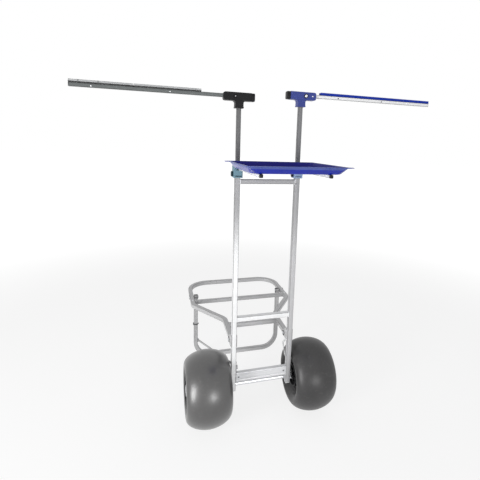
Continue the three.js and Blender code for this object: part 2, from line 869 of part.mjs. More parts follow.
function trayArmCap() {
  const length = trayCapLength - fitGap;
  const centre = -trayCapFront + length / 2;
  const body = box(trayArmWidth, length, trayArmHeight, 0, centre, 0);
  const socketDepth = trayCapOverlap + fitGap;
  const socket = box(
    trayArmWidth / 2 + 2 * fitGap, socketDepth + cutOverrun, trayArmHeight / 2 + 2 * fitGap,
    0, -trayCapFront + length - (socketDepth - cutOverrun) / 2, 0,
  );
  return cut(body, socket);
}

for (const { name, sign } of sides) {
  place(`tray_arm_${name}`, trayArm(), aluminium, sign * trayArmOffset, 0, trayArmCentre);
  place(`tray_arm_cap_${name}`, trayArmCap(), blackPlastic, sign * trayArmOffset, 0, trayArmCentre);
}

// Cradle ring, cross tube and second bar
function cradleRing() {
  const corner = (x, y) => new THREE.Vector3(x, y, 0);
  const corners = [
    corner(halfSpacing, railEnd),
    corner(halfSpacing, railInnerCorner),
    corner(railHalfSpacing, railOuterCorner),
    corner(railHalfSpacing, cradleFar),
    corner(-railHalfSpacing, cradleFar),
    corner(-railHalfSpacing, railOuterCorner),
    corner(-halfSpacing, railInnerCorner),
    corner(-halfSpacing, railEnd),
  ];
  const radii = [
    railBendRadius, railBendRadius, cradleBendRadius,
    cradleBendRadius, railBendRadius, railBendRadius,
  ];
  const tube = bentTube(corners, radii, 2 * railHalf, railWall);
  const holeLength = 2 * railHalf + 2 * cutOverrun;
  const holes = [];
  for (const { sign } of sides) {
    holes.push(rodAlongX(
      pivotBoltRadius + fitGap, holeLength, sign * halfSpacing, pivotForward, 0,
    ));
    holes.push(rodAlongX(
      pivotBoltRadius + fitGap, holeLength, sign * railHalfSpacing, legForward, 0,
    ));
  }
  return cut(tube, ...holes);
}
place('cradle_ring', cradleRing(), greyTube, 0, 0, cradleHeight);

const lowCrossLength = uprightSpacing - 2 * railHalf - 2 * fitGap;
place(
  'cradle_cross_tube', crossTube(2 * railHalf, lowCrossLength, railWall), greyTube,
  0, lowCrossForward, cradleHeight,
);

function secondBar() {
  const length = 2 * (railHalfSpacing - railHalf - fitGap);
  const ends = sides.map(({ sign }) => box(
    secondBarEndLength, secondBarEndSide, secondBarEndSide,
    sign * (length - secondBarEndLength) / 2, 0, 0,
  ));
  const boreSide = secondBarSide - 2 * railWall;
  const bore = box(length + 2 * cutOverrun, boreSide, boreSide, 0, 0, 0);
  return cut(join(crossTube(secondBarSide, length, railWall), ...ends), bore);
}
place('cradle_second_bar', secondBar(), greyTube, 0, secondBarForward, cradleHeight);

// Brackets that carry the cradle's pivots in front of the uprights
function cheekOutline() {
  const shape = new THREE.Shape();
  shape.moveTo(cheekBack, cheekBottom);
  shape.lineTo(halfTube, cheekBottom);
  shape.lineTo(pivotForward, cradleHeight - cheekNoseRadius);
  shape.absarc(pivotForward, cradleHeight, cheekNoseRadius, -quarterTurn, quarterTurn / 2);
  shape.lineTo(cheekShoulder, cheekTop);
  shape.lineTo(cheekBack, cheekTop);
  shape.closePath();
  const hole = new THREE.Path();
  hole.absarc(pivotForward, cradleHeight, pivotBoltRadius + fitGap, 0, 4 * quarterTurn);
  shape.holes.push(hole);
  return shape;
}

function cradleBracket() {
  const cheekOffset = halfTube + fitGap + cheekThickness / 2;
  const webDepth = bracketWeb;
  const web = box(
    2 * cheekOffset, webDepth, cheekTop - cheekBottom,
    0, halfTube + fitGap + webDepth / 2, (cheekTop + cheekBottom) / 2,
  );
  const pieces = [];
  for (const { sign } of sides) {
    pieces.push(sidePlate(cheekOutline(), cheekThickness, sign * cheekOffset, tubeArcs));
    for (const rise of [cheekBottom + bracketRivetInset, cheekTop - bracketRivetInset]) {
      pieces.push(rodAlongX(
        bracketRivetRadius, bracketRivetHeight + cheekThickness / 2,
        sign * (cheekOffset + (bracketRivetHeight + cheekThickness / 2) / 2), 0, rise,
      ));
    }
  }
  return join(web, ...pieces);
}

const pivotGrip = tubeSide + 2 * (fitGap + cheekThickness + fitGap);
const legBoltInner = legHalfSpacing - railHalf - fitGap;
const legBoltOuter = railHalfSpacing + railHalf + fitGap;
for (const { name, sign } of sides) {
  place(`cradle_bracket_${name}`, cradleBracket(), greyTube, sign * halfSpacing);
  place(
    `pivot_bolt_${name}`,
    boltAlongX(pivotBoltRadius, pivotBoltHeadRadius, pivotBoltHeadThickness, pivotGrip),
    steel, sign * halfSpacing, pivotForward, cradleHeight,
  );
  place(
    `leg_bolt_${name}`,
    boltAlongX(
      pivotBoltRadius, pivotBoltHeadRadius, pivotBoltHeadThickness, legBoltOuter - legBoltInner,
    ),
    steel, sign * (legBoltInner + legBoltOuter) / 2, legForward, cradleHeight,
  );
}

// Leg frame: a U of square tube that stands on the ground, with the stay's stud
function legFrame() {
  const bottom = railHalf;
  const top = cradleHeight + legTopRise;
  const corner = (x, z) => new THREE.Vector3(x, 0, z);
  const corners = [
    corner(-legHalfSpacing, top),
    corner(-legHalfSpacing, bottom),
    corner(legHalfSpacing, bottom),
    corner(legHalfSpacing, top),
  ];
  const tube = bentTube(corners, [legBendRadius, legBendRadius], 2 * railHalf, railWall);
  const studStart = legHalfSpacing - railHalf + railWall;
  const studEnd = legHalfSpacing - railHalf - 2 * fitGap - stayThickness;
  const stud = rodAlongX(
    studRadius, studStart - studEnd + studHeadThickness / 2,
    -(studStart + studEnd - studHeadThickness / 2) / 2, 0, studHeight,
  );
  const studHead = rodAlongX(
    studHeadRadius, studHeadThickness, -(studEnd - studHeadThickness / 2), 0, studHeight,
  );
  const throughLength = 2 * railHalf + 2 * cutOverrun;
  const holes = sides.map(({ sign }) => rodAlongX(
    pivotBoltRadius + fitGap, throughLength, sign * legHalfSpacing, 0, cradleHeight,
  ));
  holes.push(rodAlongY(
    legHoleRadius, throughLength, legHalfSpacing, 0, cradleHeight - legHoleDrop,
  ));
  holes.push(rodAlongX(
    clipPinRadius + fitGap, throughLength, -legHalfSpacing, 0, clipHeight,
  ));
  return join(cut(tube, ...holes), stud, studHead);
}
place('leg_frame', legFrame(), greyTube, 0, legForward, 0);

// Spring clip through the left leg
function legClip() {
  const pinStart = railHalf + fitGap;
  const headMiddle = pinStart + clipHeadThickness / 2;
  const pinEnd = railHalf + clipPinOverhang;
  const pin = rodAlongX(clipPinRadius, pinEnd + headMiddle, (pinEnd - headMiddle) / 2, 0, 0);
  const head = box(
    clipHeadThickness, clipHeadSide, clipHeadSide, -headMiddle, 0, 0,
  );
  return join(pin, head);
}
place('leg_clip', legClip(), blackPlastic, -legHalfSpacing, legForward, clipHeight);

// Stay: a flat bar with an eye at each end. The rear eye's pin faces the lug on the
// left upright.
const stayFrontOffset = legHalfSpacing - railHalf - fitGap - stayThickness / 2;
function stay() {
  const front = new THREE.Vector3(-stayFrontOffset, legForward, studHeight);
  const rear = new THREE.Vector3(-stayRearOffset, stayRearForward, stayRearHeight);
  const run = rear.clone().sub(front);
  const length = run.length() - 2 * stayEyeStart;
  const yaw = Math.atan2(run.x, -run.y);
  const pitch = Math.atan2(run.z, Math.hypot(run.x, run.y));
  const middle = front.clone().add(rear).multiplyScalar(1 / 2);
  const bar = new THREE.BoxGeometry(stayThickness, length, stayWidth)
    .rotateX(-pitch).rotateZ(yaw).translate(middle.x, middle.y, middle.z);
  const eyes = [front, rear].map((eye) => rodAlongX(
    stayEyeRadius, stayThickness, eye.x, eye.y, eye.z, 2 * pinSides,
  ));
  const hole = rodAlongX(
    studRadius + fitGap, stayThickness + 2 * cutOverrun, front.x, front.y, front.z,
  );
  const pinEnd = halfSpacing - halfTube - 2 * fitGap - lugThickness;
  const pin = rodAlongX(
    stayPinRadius, pinEnd - stayRearOffset, -(pinEnd + stayRearOffset) / 2, rear.y, rear.z,
  );
  return join(cut(join(bar, ...eyes), hole), pin);
}
place('stay', stay(), greyTube);

function stayLug() {
  const shape = roundedRectangle(
    new THREE.Shape(), lugFront - lugBack, lugTop - lugBottom, lugCorner,
  );
  return sidePlate(shape, lugThickness, 0, 2);
}
place(
  'stay_lug', stayLug(), greyTube,
  -(halfSpacing - halfTube - fitGap - lugThickness / 2),
  (lugFront + lugBack) / 2, (lugTop + lugBottom) / 2,
);

// Rubber buffers on the fronts of the uprights, and the strap hooks beside them
function keeperHook() {
  const shape = new THREE.Shape();
  const middle = (hookTop + hookBottom) / 2;
  shape.moveTo(hookBack, hookBottom);
  shape.lineTo(halfTube, hookBottom);
  shape.lineTo(hookFront, middle);
  shape.lineTo(halfTube, hookTop);
  shape.lineTo(hookBack, hookTop);
  shape.closePath();
  const opening = new THREE.Path();
  opening.moveTo(hookBack + hookStrap, hookBottom + hookStrap);
  opening.lineTo(halfTube - hookStrap / 2, hookBottom + hookStrap);
  opening.lineTo(hookFront - 3 * hookStrap / 2, middle);
  opening.lineTo(halfTube - hookStrap / 2, hookTop - hookStrap);
  opening.lineTo(hookBack + hookStrap, hookTop - hookStrap);
  opening.closePath();
  shape.holes.push(opening);
  return sidePlate(shape, hookThickness, 0);
}

for (const { name, sign } of sides) {
  place(
    `buffer_${name}`,
    box(
      bufferWidth, bufferThickness, bufferHeight,
      0, halfTube + fitGap + bufferThickness / 2, bufferBottom + bufferHeight / 2,
    ),
    blackRubber, sign * halfSpacing,
  );
  place(
    `keeper_hook_${name}`, keeperHook(), greyTube,
    sign * (halfSpacing - halfTube - fitGap - hookThickness / 2),
  );
}

export default trolley;
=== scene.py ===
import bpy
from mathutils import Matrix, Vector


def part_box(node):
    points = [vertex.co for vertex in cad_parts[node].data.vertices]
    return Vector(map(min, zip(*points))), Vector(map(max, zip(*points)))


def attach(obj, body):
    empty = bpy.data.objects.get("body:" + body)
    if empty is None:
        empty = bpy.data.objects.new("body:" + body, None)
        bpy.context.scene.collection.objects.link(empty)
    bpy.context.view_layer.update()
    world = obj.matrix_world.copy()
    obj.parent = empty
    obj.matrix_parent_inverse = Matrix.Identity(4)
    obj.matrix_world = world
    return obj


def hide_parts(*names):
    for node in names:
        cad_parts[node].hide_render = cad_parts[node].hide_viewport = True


bl_info = {
    "name": "Fishing trolley",
    "version": (1, 0, 0),
    "blender": (4, 5, 0),
    "location": "3D View > Sidebar > Trolley",
    "description": "Dresses the packed trolley with its tubes, wheels, cradle, handles, arms and tray",
    "category": "Object",
}

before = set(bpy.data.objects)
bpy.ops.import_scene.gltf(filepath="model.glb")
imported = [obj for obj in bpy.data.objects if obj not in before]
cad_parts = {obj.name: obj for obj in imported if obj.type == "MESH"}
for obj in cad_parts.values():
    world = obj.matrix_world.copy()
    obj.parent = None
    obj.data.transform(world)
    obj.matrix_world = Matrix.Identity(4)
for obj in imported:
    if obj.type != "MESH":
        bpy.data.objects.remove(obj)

import math

import bmesh
import bpy
from mathutils import Matrix, Vector
from mathutils.geometry import tessellate_polygon

MM = 0.001
SIDES = {"left": -1, "right": 1}
X = Vector((1, 0, 0))
Y = Vector((0, 1, 0))
Z = Vector((0, 0, 1))
CROSSWISE = {"X": (X, Y, Z), "Y": (Y, Z, X), "Z": (Z, X, Y)}
ROUND = 2 * math.pi
QUARTER = math.pi / 2
# A Mix node's sockets that carry colours, which share their names with its other sockets
MIX_FACTOR, MIX_FIRST, MIX_SECOND, MIX_RESULT = 0, 6, 7, 2
# Heights between which the tubes' colour turns from bright to painted shade, the tray's shade on their
# tops
SHADE_START, SHADE_END = 660 * MM, 930 * MM
# Grey that scuffs, dust and worn corners turn towards; on the tray's corners it makes a painted
# highlight
GREY_SCUFF_AND_SHEEN = (0.5, 0.5, 0.52, 1.0)
PALE_DUST = (0.42, 0.41, 0.39, 1.0)


def length_property(name, description, default):
    return bpy.props.FloatProperty(
        name=name, description=description, default=default, unit="LENGTH")


class TrolleySizes(bpy.types.PropertyGroup):
    """Sizes of the detail that the frame's boxes do not give."""

    tube_corner: length_property(
        "Tube corner", "Outer corner radius of the square tubes", 2.2 * MM)
    tube_wall: length_property("Tube wall", "Wall of every tube", 1.5 * MM)
    edge_ease: length_property(
        "Edge ease", "Rounding at the ends of tubes and on moulded edges", 0.5 * MM)
    weld_radius: length_property("Weld radius", "Radius of the rippled weld beads", 1.5 * MM)
    tyre_bore: length_property("Tyre bore", "Radius of the hole in each tyre", 56 * MM)
    tyre_bead: length_property(
        "Tyre bead", "Half the distance between the tyre's two beads", 50 * MM)
    tyre_roundness: bpy.props.FloatProperty(
        name="Tyre roundness", description="Power of the tyre's section, 2 for an ellipse",
        default=1.9)
    rail_spread_start: length_property(
        "Spread start", "Where the cradle's rails begin to spread, from their near end", 191 * MM)
    rail_spread_end: length_property(
        "Spread end", "Where the cradle's rails stop spreading, from their near end", 372 * MM)
    rail_bend: length_property("Rail bend", "Bend radius of the rails where they spread", 50 * MM)
    cradle_bend: length_property(
        "Cradle bend", "Bend radius of the cradle's far corners", 100 * MM)
    leg_bend: length_property("Leg bend", "Bend radius of the leg frame's corners", 80 * MM)
    stay_eye: length_property("Stay eye", "Radius of the eyes at the stay's two ends", 9 * MM)
    tray_taper: length_property(
        "Tray taper", "How far the tray's walls lean in from rim to floor", 16 * MM)
    tray_corner: length_property("Tray corner", "Corner radius of the tray's rim", 10 * MM)
    tray_foot_corner: length_property(
        "Tray foot corner", "Corner radius of the tray's walls at its floor", 26 * MM)
    tray_wall: length_property("Tray wall", "Thickness of the tray's wall", 2.5 * MM)
    tray_lip: length_property("Tray lip", "Width of the tray's flat rim", 5 * MM)


def colour_property(name, description, red, green, blue):
    return bpy.props.FloatVectorProperty(
        name=name, description=description, default=(red, green, blue),
        subtype="COLOR", size=3, min=0, max=1)


class TrolleyColours(bpy.types.PropertyGroup):
    """The colours of the trolley's finishes."""

    bright_tube: colour_property("Bright tube", "Satin extruded tube", 0.87, 0.875, 0.88)
    # Painted shade: the tubes' tone in the shade that the tray casts on them
    shaded_tube: colour_property("Shaded tube", "Satin tube under the tray", 0.31, 0.31, 0.315)
    # Painted shade: the bright tube made darker for the lesser light that falls on the right upright
    dull_tube: colour_property("Dull tube", "Lower part of the right upright", 0.52, 0.52, 0.53)
    drawn_tube: colour_property("Drawn tube", "Dull drawn tube", 0.54, 0.54, 0.545)
    dark_tube: colour_property("Dark tube", "Dark tube of the left handle", 0.13, 0.13, 0.132)
    # Painted light: the dark handle tube made lighter for the light that falls on the right handle
    right_handle: colour_property("Right handle", "Tube of the right handle", 0.19, 0.19, 0.195)
    left_arm: colour_property("Left arm", "Tube of the left rod arm", 0.12, 0.13, 0.13)
    beam: colour_property("Axle beam", "Ribbed axle beam", 0.78, 0.785, 0.8)
    plated_steel: colour_property("Plated steel", "Screws, caps and axle", 0.75, 0.76, 0.78)
    left_tyre: colour_property("Left tyre", "Glossier rubber of the left tyre", 0.032, 0.031, 0.031)
    right_tyre: colour_property("Right tyre", "Duller rubber of the right tyre", 0.044, 0.043, 0.044)
    black: colour_property("Black moulding", "Hubs, caps and knobs", 0.01, 0.01, 0.011)
    pale: colour_property("Pale moulding", "Plugs in the feet", 0.72, 0.73, 0.74)
    teal: colour_property("Teal moulding", "Left collar", 0.13, 0.25, 0.31)
    dark_teal: colour_property("Dark teal moulding", "Left clamp knob", 0.01, 0.035, 0.045)
    steel_blue: colour_property("Steel blue moulding", "Right collar", 0.26, 0.37, 0.55)
    navy: colour_property("Navy moulding", "Right tee", 0.04, 0.06, 0.27)
    royal: colour_property("Royal blue moulding", "Bait tray", 0.006, 0.018, 0.32)
    # Painted highlight: the tray's blue, lighter on its rim and upper walls for the light that falls
    # there
    tray_rim: colour_property("Tray rim", "Rubbed rim of the bait tray", 0.06, 0.09, 0.34)
    # Painted shade: the tray's blue, darker inside for the shade there
    tray_inside: colour_property("Tray inside", "Inside of the bait tray", 0.02, 0.021, 0.27)
    blue_foam: colour_property("Blue foam", "Right rest strip", 0.008, 0.035, 0.38)
    grey_foam: colour_property("Grey foam", "Left rest strip", 0.44, 0.45, 0.455)
    buffer: colour_property("Buffer rubber", "Buffers on the uprights", 0.018, 0.018, 0.018)


def in_mm(*pairs):
    """Pairs of lengths that are given in millimetres."""
    return [(first * MM, second * MM) for first, second in pairs]


def along_x(place, start, end):
    """Two points on the line that runs along X through a place."""
    return [Vector((x, place.y, place.z)) for x in (start, end)]


def round_x(angle):
    """The direction square to X that lies at an angle from Y towards Z."""
    return Y * math.cos(angle) + Z * math.sin(angle)


class Space:
    """The room that a CAD node takes at rest: its corners, middle, size and foot."""

    def __init__(self, node):
        self.low, self.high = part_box(node)
        self.middle = (self.low + self.high) / 2
        self.size = self.high - self.low
        self.foot = Vector((self.middle.x, self.middle.y, self.low.z))

    def edge(self, sign):
        """Where the room ends along X, on the side that the sign gives"""
        return self.high.x if sign > 0 else self.low.x

    def at_x(self, x):
        """The room's middle, moved along X"""
        return Vector((x, self.middle.y, self.middle.z))

    def column(self):
        """The two ends of a post that stands along Z through the middle of its room"""
        return [self.foot, Vector((self.middle.x, self.middle.y, self.high.z))]

    def bar(self):
        """The two ends of a bar that runs along X through the middle of its room"""
        return [self.at_x(self.low.x), self.at_x(self.high.x)]


# Finishes

class Field:
    """A number that varies over a surface. Arithmetic on it adds Math nodes."""

    def __init__(self, coat, socket):
        self.coat = coat
        self.socket = socket

    def worked(self, operation, first, second):
        node = self.coat.node("ShaderNodeMath", {"operation": operation}, {0: first, 1: second})
        return Field(self.coat, node.outputs[0])

    def __add__(self, other):
        return self.worked("ADD", self, other)

    def __radd__(self, other):
        return self.worked("ADD", other, self)

    def __sub__(self, other):
        return self.worked("SUBTRACT", self, other)

    def __rsub__(self, other):
        return self.worked("SUBTRACT", other, self)

    def __mul__(self, other):
        return self.worked("MULTIPLY", self, other)

    def __rmul__(self, other):
        return self.worked("MULTIPLY", other, self)


class Coat:
    """The node tree of one finish, with the one method that adds its nodes."""

    def __init__(self, tree):
        self.tree = tree
        self.tree.nodes.clear()

    def node(self, kind, settings=None, sockets=None):
        node = self.tree.nodes.new(kind)
        for setting, value in (settings or {}).items():
            setattr(node, setting, value)
        for socket, value in (sockets or {}).items():
            if isinstance(value, Field):
                value = value.socket
            if isinstance(value, bpy.types.NodeSocket):
                self.tree.links.new(value, node.inputs[socket])
            else:
                node.inputs[socket].default_value = value
        return node

    def place(self):
        return self.node("ShaderNodeTexCoord").outputs["Object"]

    def height(self):
        node = self.node("ShaderNodeSeparateXYZ", None, {0: self.place()})
        return Field(self, node.outputs["Z"])

    def grain(self):
        return self.node("ShaderNodeUVMap", {"uv_map": "grain"}).outputs["UV"]

    def worn(self):
        reader = self.node("ShaderNodeAttribute", {"attribute_name": "worn"})
        return Field(self, reader.outputs["Fac"])

    def stretched(self, vector, along, round_it, third=1.0):
        scale = (along, round_it, third)
        node = self.node("ShaderNodeVectorMath", {"operation": "MULTIPLY"}, {0: vector, 1: scale})
        return node.outputs[0]

    def noise(self, vector, scale, detail=3.0, roughness=0.55):
        sockets = {"Vector": vector, "Scale": scale, "Detail": detail, "Roughness": roughness}
        return Field(self, self.node("ShaderNodeTexNoise", None, sockets).outputs[0])

    def cells(self, vector, scale):
        sockets = {"Vector": vector, "Scale": scale}
        return Field(self, self.node("ShaderNodeTexVoronoi", None, sockets).outputs["Distance"])

    def step(self, field, low, high):
        sockets = {"Value": field, "From Min": low, "From Max": high}
        node = self.node("ShaderNodeMapRange", {"interpolation_type": "SMOOTHSTEP"}, sockets)
        return Field(self, node.outputs[0])

    def tint(self, factor, first, second):
        sockets = {MIX_FACTOR: factor, MIX_FIRST: first, MIX_SECOND: second}
        return self.node("ShaderNodeMix", {"data_type": "RGBA"}, sockets).outputs[MIX_RESULT]

    def between(self, factor, first, second):
        sockets = {0: factor, 1: first.outputs[0], 2: second.outputs[0]}
        return self.node("ShaderNodeMixShader", None, sockets).outputs[0]

    def surface(self, colour, roughness, height, lift, settings):
        bump = self.node("ShaderNodeBump", None, {"Strength": 1.0, "Distance": lift, "Height": height})
        sockets = {"Base Color": colour, "Roughness": roughness, "Normal": bump.outputs[0]}
        sockets.update(settings)
        shader = self.node("ShaderNodeBsdfPrincipled", None, sockets)
        self.node("ShaderNodeOutputMaterial", None, {"Surface": shader.outputs[0]})


def shade(colour, factor):
    """A colour made darker or lighter, with the alpha that a colour socket needs."""
    return tuple(min(1.0, channel * factor) for channel in colour) + (1.0,)


def new_coat(name):
    material = bpy.data.materials.new(name)
    material.use_nodes = True
    return material, Coat(material.node_tree)


def tube_metal(name, colour, roughness=0.45, metallic=0.25, corner=0.5, tray_shade_on_top=False):
    """Drawn or extruded tube: die lines along it, handling marks, corners painted darker as shade and,
    where asked, painted tray shade towards its top.
    """
    # The top colour is the painted tray shade where asked, else the tube's own colour
    top = bpy.context.scene.trolley_colours.shaded_tube if tray_shade_on_top else colour
    material, coat = new_coat(name)
    grain = coat.grain()
    lines = coat.noise(coat.stretched(grain, 9, 2600), 1.0, 2.0)
    bands = coat.noise(coat.stretched(grain, 2.5, 260), 1.0, 2.0)
    cloud = coat.noise(coat.place(), 26, 4.0)
    scratches = coat.step(coat.noise(coat.stretched(grain, 60, 1500), 1.0, 2.0), 0.66, 0.74)
    marks = coat.step(coat.noise(coat.place(), 210, 3.0), 0.6, 0.72)
    corners = coat.worn()
    tone = coat.step(0.3 * lines + 0.35 * bands + 0.35 * cloud, 0.35, 0.65)
    spread = 0.05
    base = coat.tint(tone, shade(colour, 1 - spread), shade(colour, 1 + spread))
    # Painted shade: towards the top the tube takes the tray's shade
    if tray_shade_on_top:
        tray_shade_base = coat.tint(tone, shade(top, 1 - spread), shade(top, 1 + spread))
        base = coat.tint(coat.step(coat.height(), SHADE_START, SHADE_END), base, tray_shade_base)
    # The corners are painted darker: painted shade for the dark that they reflect
    base = coat.tint(corners, base, shade(top, corner))
    base = coat.tint(0.08 * marks, base, shade(top, 0.72))
    base = coat.tint(0.2 * scratches, base, shade(colour, 1.25))
    rough = roughness - 0.06 + 0.12 * lines + 0.08 * marks
    height = 0.5 * lines + 0.2 * bands + 0.3 * scratches
    coat.surface(base, rough, height, 0.02 * MM, {"Metallic": metallic})
    return material


def plated_steel(name, colour):
    """Zinc plate: bright, a little cloudy, with fine turning marks."""
    material, coat = new_coat(name)
    place = coat.place()
    cloud = coat.noise(place, 160, 4.0)
    turning = coat.noise(coat.stretched(coat.grain(), 2400, 40), 1.0, 2.0)
    pits = coat.step(coat.cells(place, 900), 0.0, 0.12)
    base = coat.tint(cloud, shade(colour, 0.84), shade(colour, 1.1))
    # The pits are painted darker: painted shade in them
    base = coat.tint(0.3 - 0.3 * pits, base, shade(colour, 0.5))
    rough = 0.2 + 0.12 * cloud + 0.08 * turning
    coat.surface(base, rough, 0.6 * turning + 0.4 * pits, 0.02 * MM, {"Metallic": 0.95})
    return material


def moulding(name, colour, roughness=0.42, gloss=0.0, shine=0.3, rub=0.06):
    """Moulded plastic: fine spark texture, flow clouds, scuffs, and corners painted lighter: wear on
    most mouldings, a painted highlight on the tray's corners.
    """
    material, coat = new_coat(name)
    place = coat.place()
    spark = coat.noise(place, 2600, 2.0)
    flow = coat.noise(place, 22, 3.0)
    scuffs = coat.step(coat.noise(coat.stretched(place, 60, 260, 90), 1.0, 4.0), 0.62, 0.72)
    dust = coat.step(coat.noise(place, 700, 3.0), 0.64, 0.74)
    rubbed_and_sheen = coat.worn() * coat.step(coat.noise(place, 120, 3.0), 0.4, 0.62)
    base = coat.tint(flow, shade(colour, 0.86), shade(colour, 1.14))
    base = coat.tint(0.05 * scuffs + 0.02 * dust + rub * rubbed_and_sheen, base, GREY_SCUFF_AND_SHEEN)
    rough = roughness - 0.03 + 0.06 * flow + 0.12 * scuffs + 0.1 * dust - 0.06 * rubbed_and_sheen
    height = spark + 0.4 * scuffs
    settings = {"Coat Weight": gloss, "Coat Roughness": 0.12, "Specular IOR Level": shine}
    coat.surface(base, rough, height, 0.015 * MM, settings)
    return material


def balloon_rubber(name, colour, gloss, shine):
    """Tyre rubber: bloom in soft clouds, fine mould lines round it and a little dust."""
    material, coat = new_coat(name)
    place = coat.place()
    bloom = coat.noise(place, 9, 4.0)
    speckle = coat.noise(place, 600, 3.0)
    rounds = coat.noise(coat.stretched(coat.grain(), 900, 5), 1.0, 2.0)
    dust = coat.step(coat.noise(place, 75, 5.0), 0.52, 0.78)
    base = coat.tint(coat.step(bloom, 0.3, 0.7), shade(colour, 0.86), shade(colour, 1.16))
    base = coat.tint(0.05 * dust + 0.03 * speckle, base, PALE_DUST)
    rough = 0.36 + 0.04 * bloom + 0.05 * dust
    height = 0.5 * speckle + 0.5 * rounds
    settings = {"Coat Weight": gloss, "Coat Roughness": 0.3, "Specular IOR Level": shine}
    coat.surface(base, rough, height, 0.03 * MM, settings)
    return material


def foam_strip(name, colour):
    """Closed foam rubber: fine pores, soft clouds and pressed tracks along the strip."""
    material, coat = new_coat(name)
    place = coat.place()
    pores = coat.step(coat.cells(place, 1700), 0.05, 0.45)
    cloud = coat.noise(place, 45, 4.0)
    tracks = coat.noise(coat.stretched(coat.grain(), 10, 900), 1.0, 3.0)
    base = coat.tint(cloud, shade(colour, 0.92), shade(colour, 1.08))
    # The pores are painted darker: painted shade in them
    base = coat.tint(0.14 - 0.14 * pores, base, shade(colour, 0.45))
    base = coat.tint(0.06 * coat.step(tracks, 0.55, 0.75), base, GREY_SCUFF_AND_SHEEN)
    rough = 0.62 + 0.14 * cloud
    coat.surface(base, rough, pores, 0.05 * MM, {"Specular IOR Level": 0.25})
    return material


# Each finish: what makes it, its material, its colour and the settings that are its own
FINISHES = {
    # Each tube's corner setting is the tone of its painted corner shade, as a share of its colour
    "frame_aluminium": (tube_metal, "satin_extrusion", "bright_tube", {"corner": 0.3}),
    "left_upright": (tube_metal, "left_upright_metal", "bright_tube", {"corner": 0.6, "tray_shade_on_top": True}),
    # The right upright's lower colour is painted shade of the bright tube
    "right_upright": (tube_metal, "right_upright_metal", "dull_tube", {"corner": 0.7, "tray_shade_on_top": True}),
    # The top bar takes the painted tray shade as its whole colour
    "top_bar": (tube_metal, "top_bar_metal", "shaded_tube", {}),
    "grey_aluminium": (tube_metal, "drawn_tube_metal", "drawn_tube", {"roughness": 0.5}),
    "dark_aluminium": (tube_metal, "handle_tube_metal", "dark_tube", {"metallic": 0.3}),
    "right_handle": (tube_metal, "right_handle_metal", "right_handle", {"metallic": 0.3}),
    "left_arm": (tube_metal, "left_arm_metal", "left_arm", {"metallic": 0.3}),
    "beam": (tube_metal, "beam_metal", "beam", {"roughness": 0.42, "metallic": 0.3}),
    "steel": (plated_steel, "zinc_plate", "plated_steel", {}),
    "left_tyre": (balloon_rubber, "left_balloon_rubber", "left_tyre", {"gloss": 0.6, "shine": 1.0}),
    "right_tyre": (balloon_rubber, "right_balloon_rubber", "right_tyre", {"gloss": 0, "shine": 0.4}),
    "black_plastic": (moulding, "black_moulding", "black", {"shine": 0.15}),
    "pale_plastic": (moulding, "pale_moulding", "pale", {"roughness": 0.5}),
    "teal_plastic": (moulding, "teal_moulding", "teal", {}),
    "dark_teal_plastic": (moulding, "dark_teal_moulding", "dark_teal", {}),
    "steel_blue_plastic": (moulding, "steel_blue_moulding", "steel_blue", {}),
    "navy_plastic": (moulding, "navy_moulding", "navy", {"roughness": 0.4}),
    # The tray's strong rub setting paints a highlight on its corners
    "blue_plastic": (
        moulding, "royal_blue_moulding", "royal",
        {"roughness": 0.28, "gloss": 0.2, "shine": 0.25, "rub": 0.9}),
    # The tray's rim is a painted highlight
    "tray_rim": (moulding, "tray_rim_moulding", "tray_rim", {"roughness": 0.35}),
    # The tray's inside is painted shade
    "tray_inside": (moulding, "tray_inside_moulding", "tray_inside", {"roughness": 0.55, "shine": 0.15}),
    "blue_rubber": (foam_strip, "blue_foam", "blue_foam", {}),
    "grey_rubber": (foam_strip, "grey_foam", "grey_foam", {}),
    "black_rubber": (foam_strip, "buffer_rubber", "buffer", {}),
}
made_finishes = {}


def finish_of(name):
    """The finish of that name, made when a piece first asks for it."""
    if name not in made_finishes:
        make, material, colour, settings = FINISHES[name]
        colours = bpy.context.scene.trolley_colours
        made_finishes[name] = make(material, getattr(colours, colour), **settings)
    return made_finishes[name]


# Outlines and runs

def arc(across, up, radius, start, sweep, steps=6):
    """Points along an arc about (across, up), with both its ends."""
    angles = [start + sweep * step / steps for step in range(steps + 1)]
    return [(across + radius * math.cos(angle), up + radius * math.sin(angle)) for angle in angles]


def rounded_outline(width, height, corner, steps=5):
    """A rounded rectangle about its middle, anticlockwise, as (across, up) pairs."""
    across = width / 2 - corner
    up = height / 2 - corner
    points = []
    for turn, (right, top) in enumerate(((1, 1), (-1, 1), (-1, -1), (1, -1))):
        points += arc(right * across, top * up, corner, turn * QUARTER, QUARTER, steps)
    return points


def corner_wear_and_light(steps=5):
    """How much each point of a rounded rectangle takes of its corner tone: most at the middle of its
    corners. On tubes that tone is painted shade, on the tray a painted highlight, on other mouldings
    wear.
    """
    return [math.sin(math.pi * step / steps) for step in range(steps + 1)] * 4


def circle_outline(radius, count=32):
    return [(radius * math.cos(ROUND * i / count), radius * math.sin(ROUND * i / count))
            for i in range(count)]


def square_section(width, height, corner):
    """Gives the outline of a square tube, drawn in by an inset."""
    return lambda inset: rounded_outline(
        width - 2 * inset, height - 2 * inset, max(corner - inset, 0.2 * MM))


def round_section(radius, count=32):
    return lambda inset: circle_outline(radius - inset, count)


def drawn_section(outline):
    """Gives a drawn outline, drawn in by an inset towards its middle."""
    half_width = max(abs(across) for across, up in outline)
    half_height = max(abs(up) for across, up in outline)
    return lambda inset: [
        (across * (1 - inset / half_width), up * (1 - inset / half_height)) for across, up in outline]


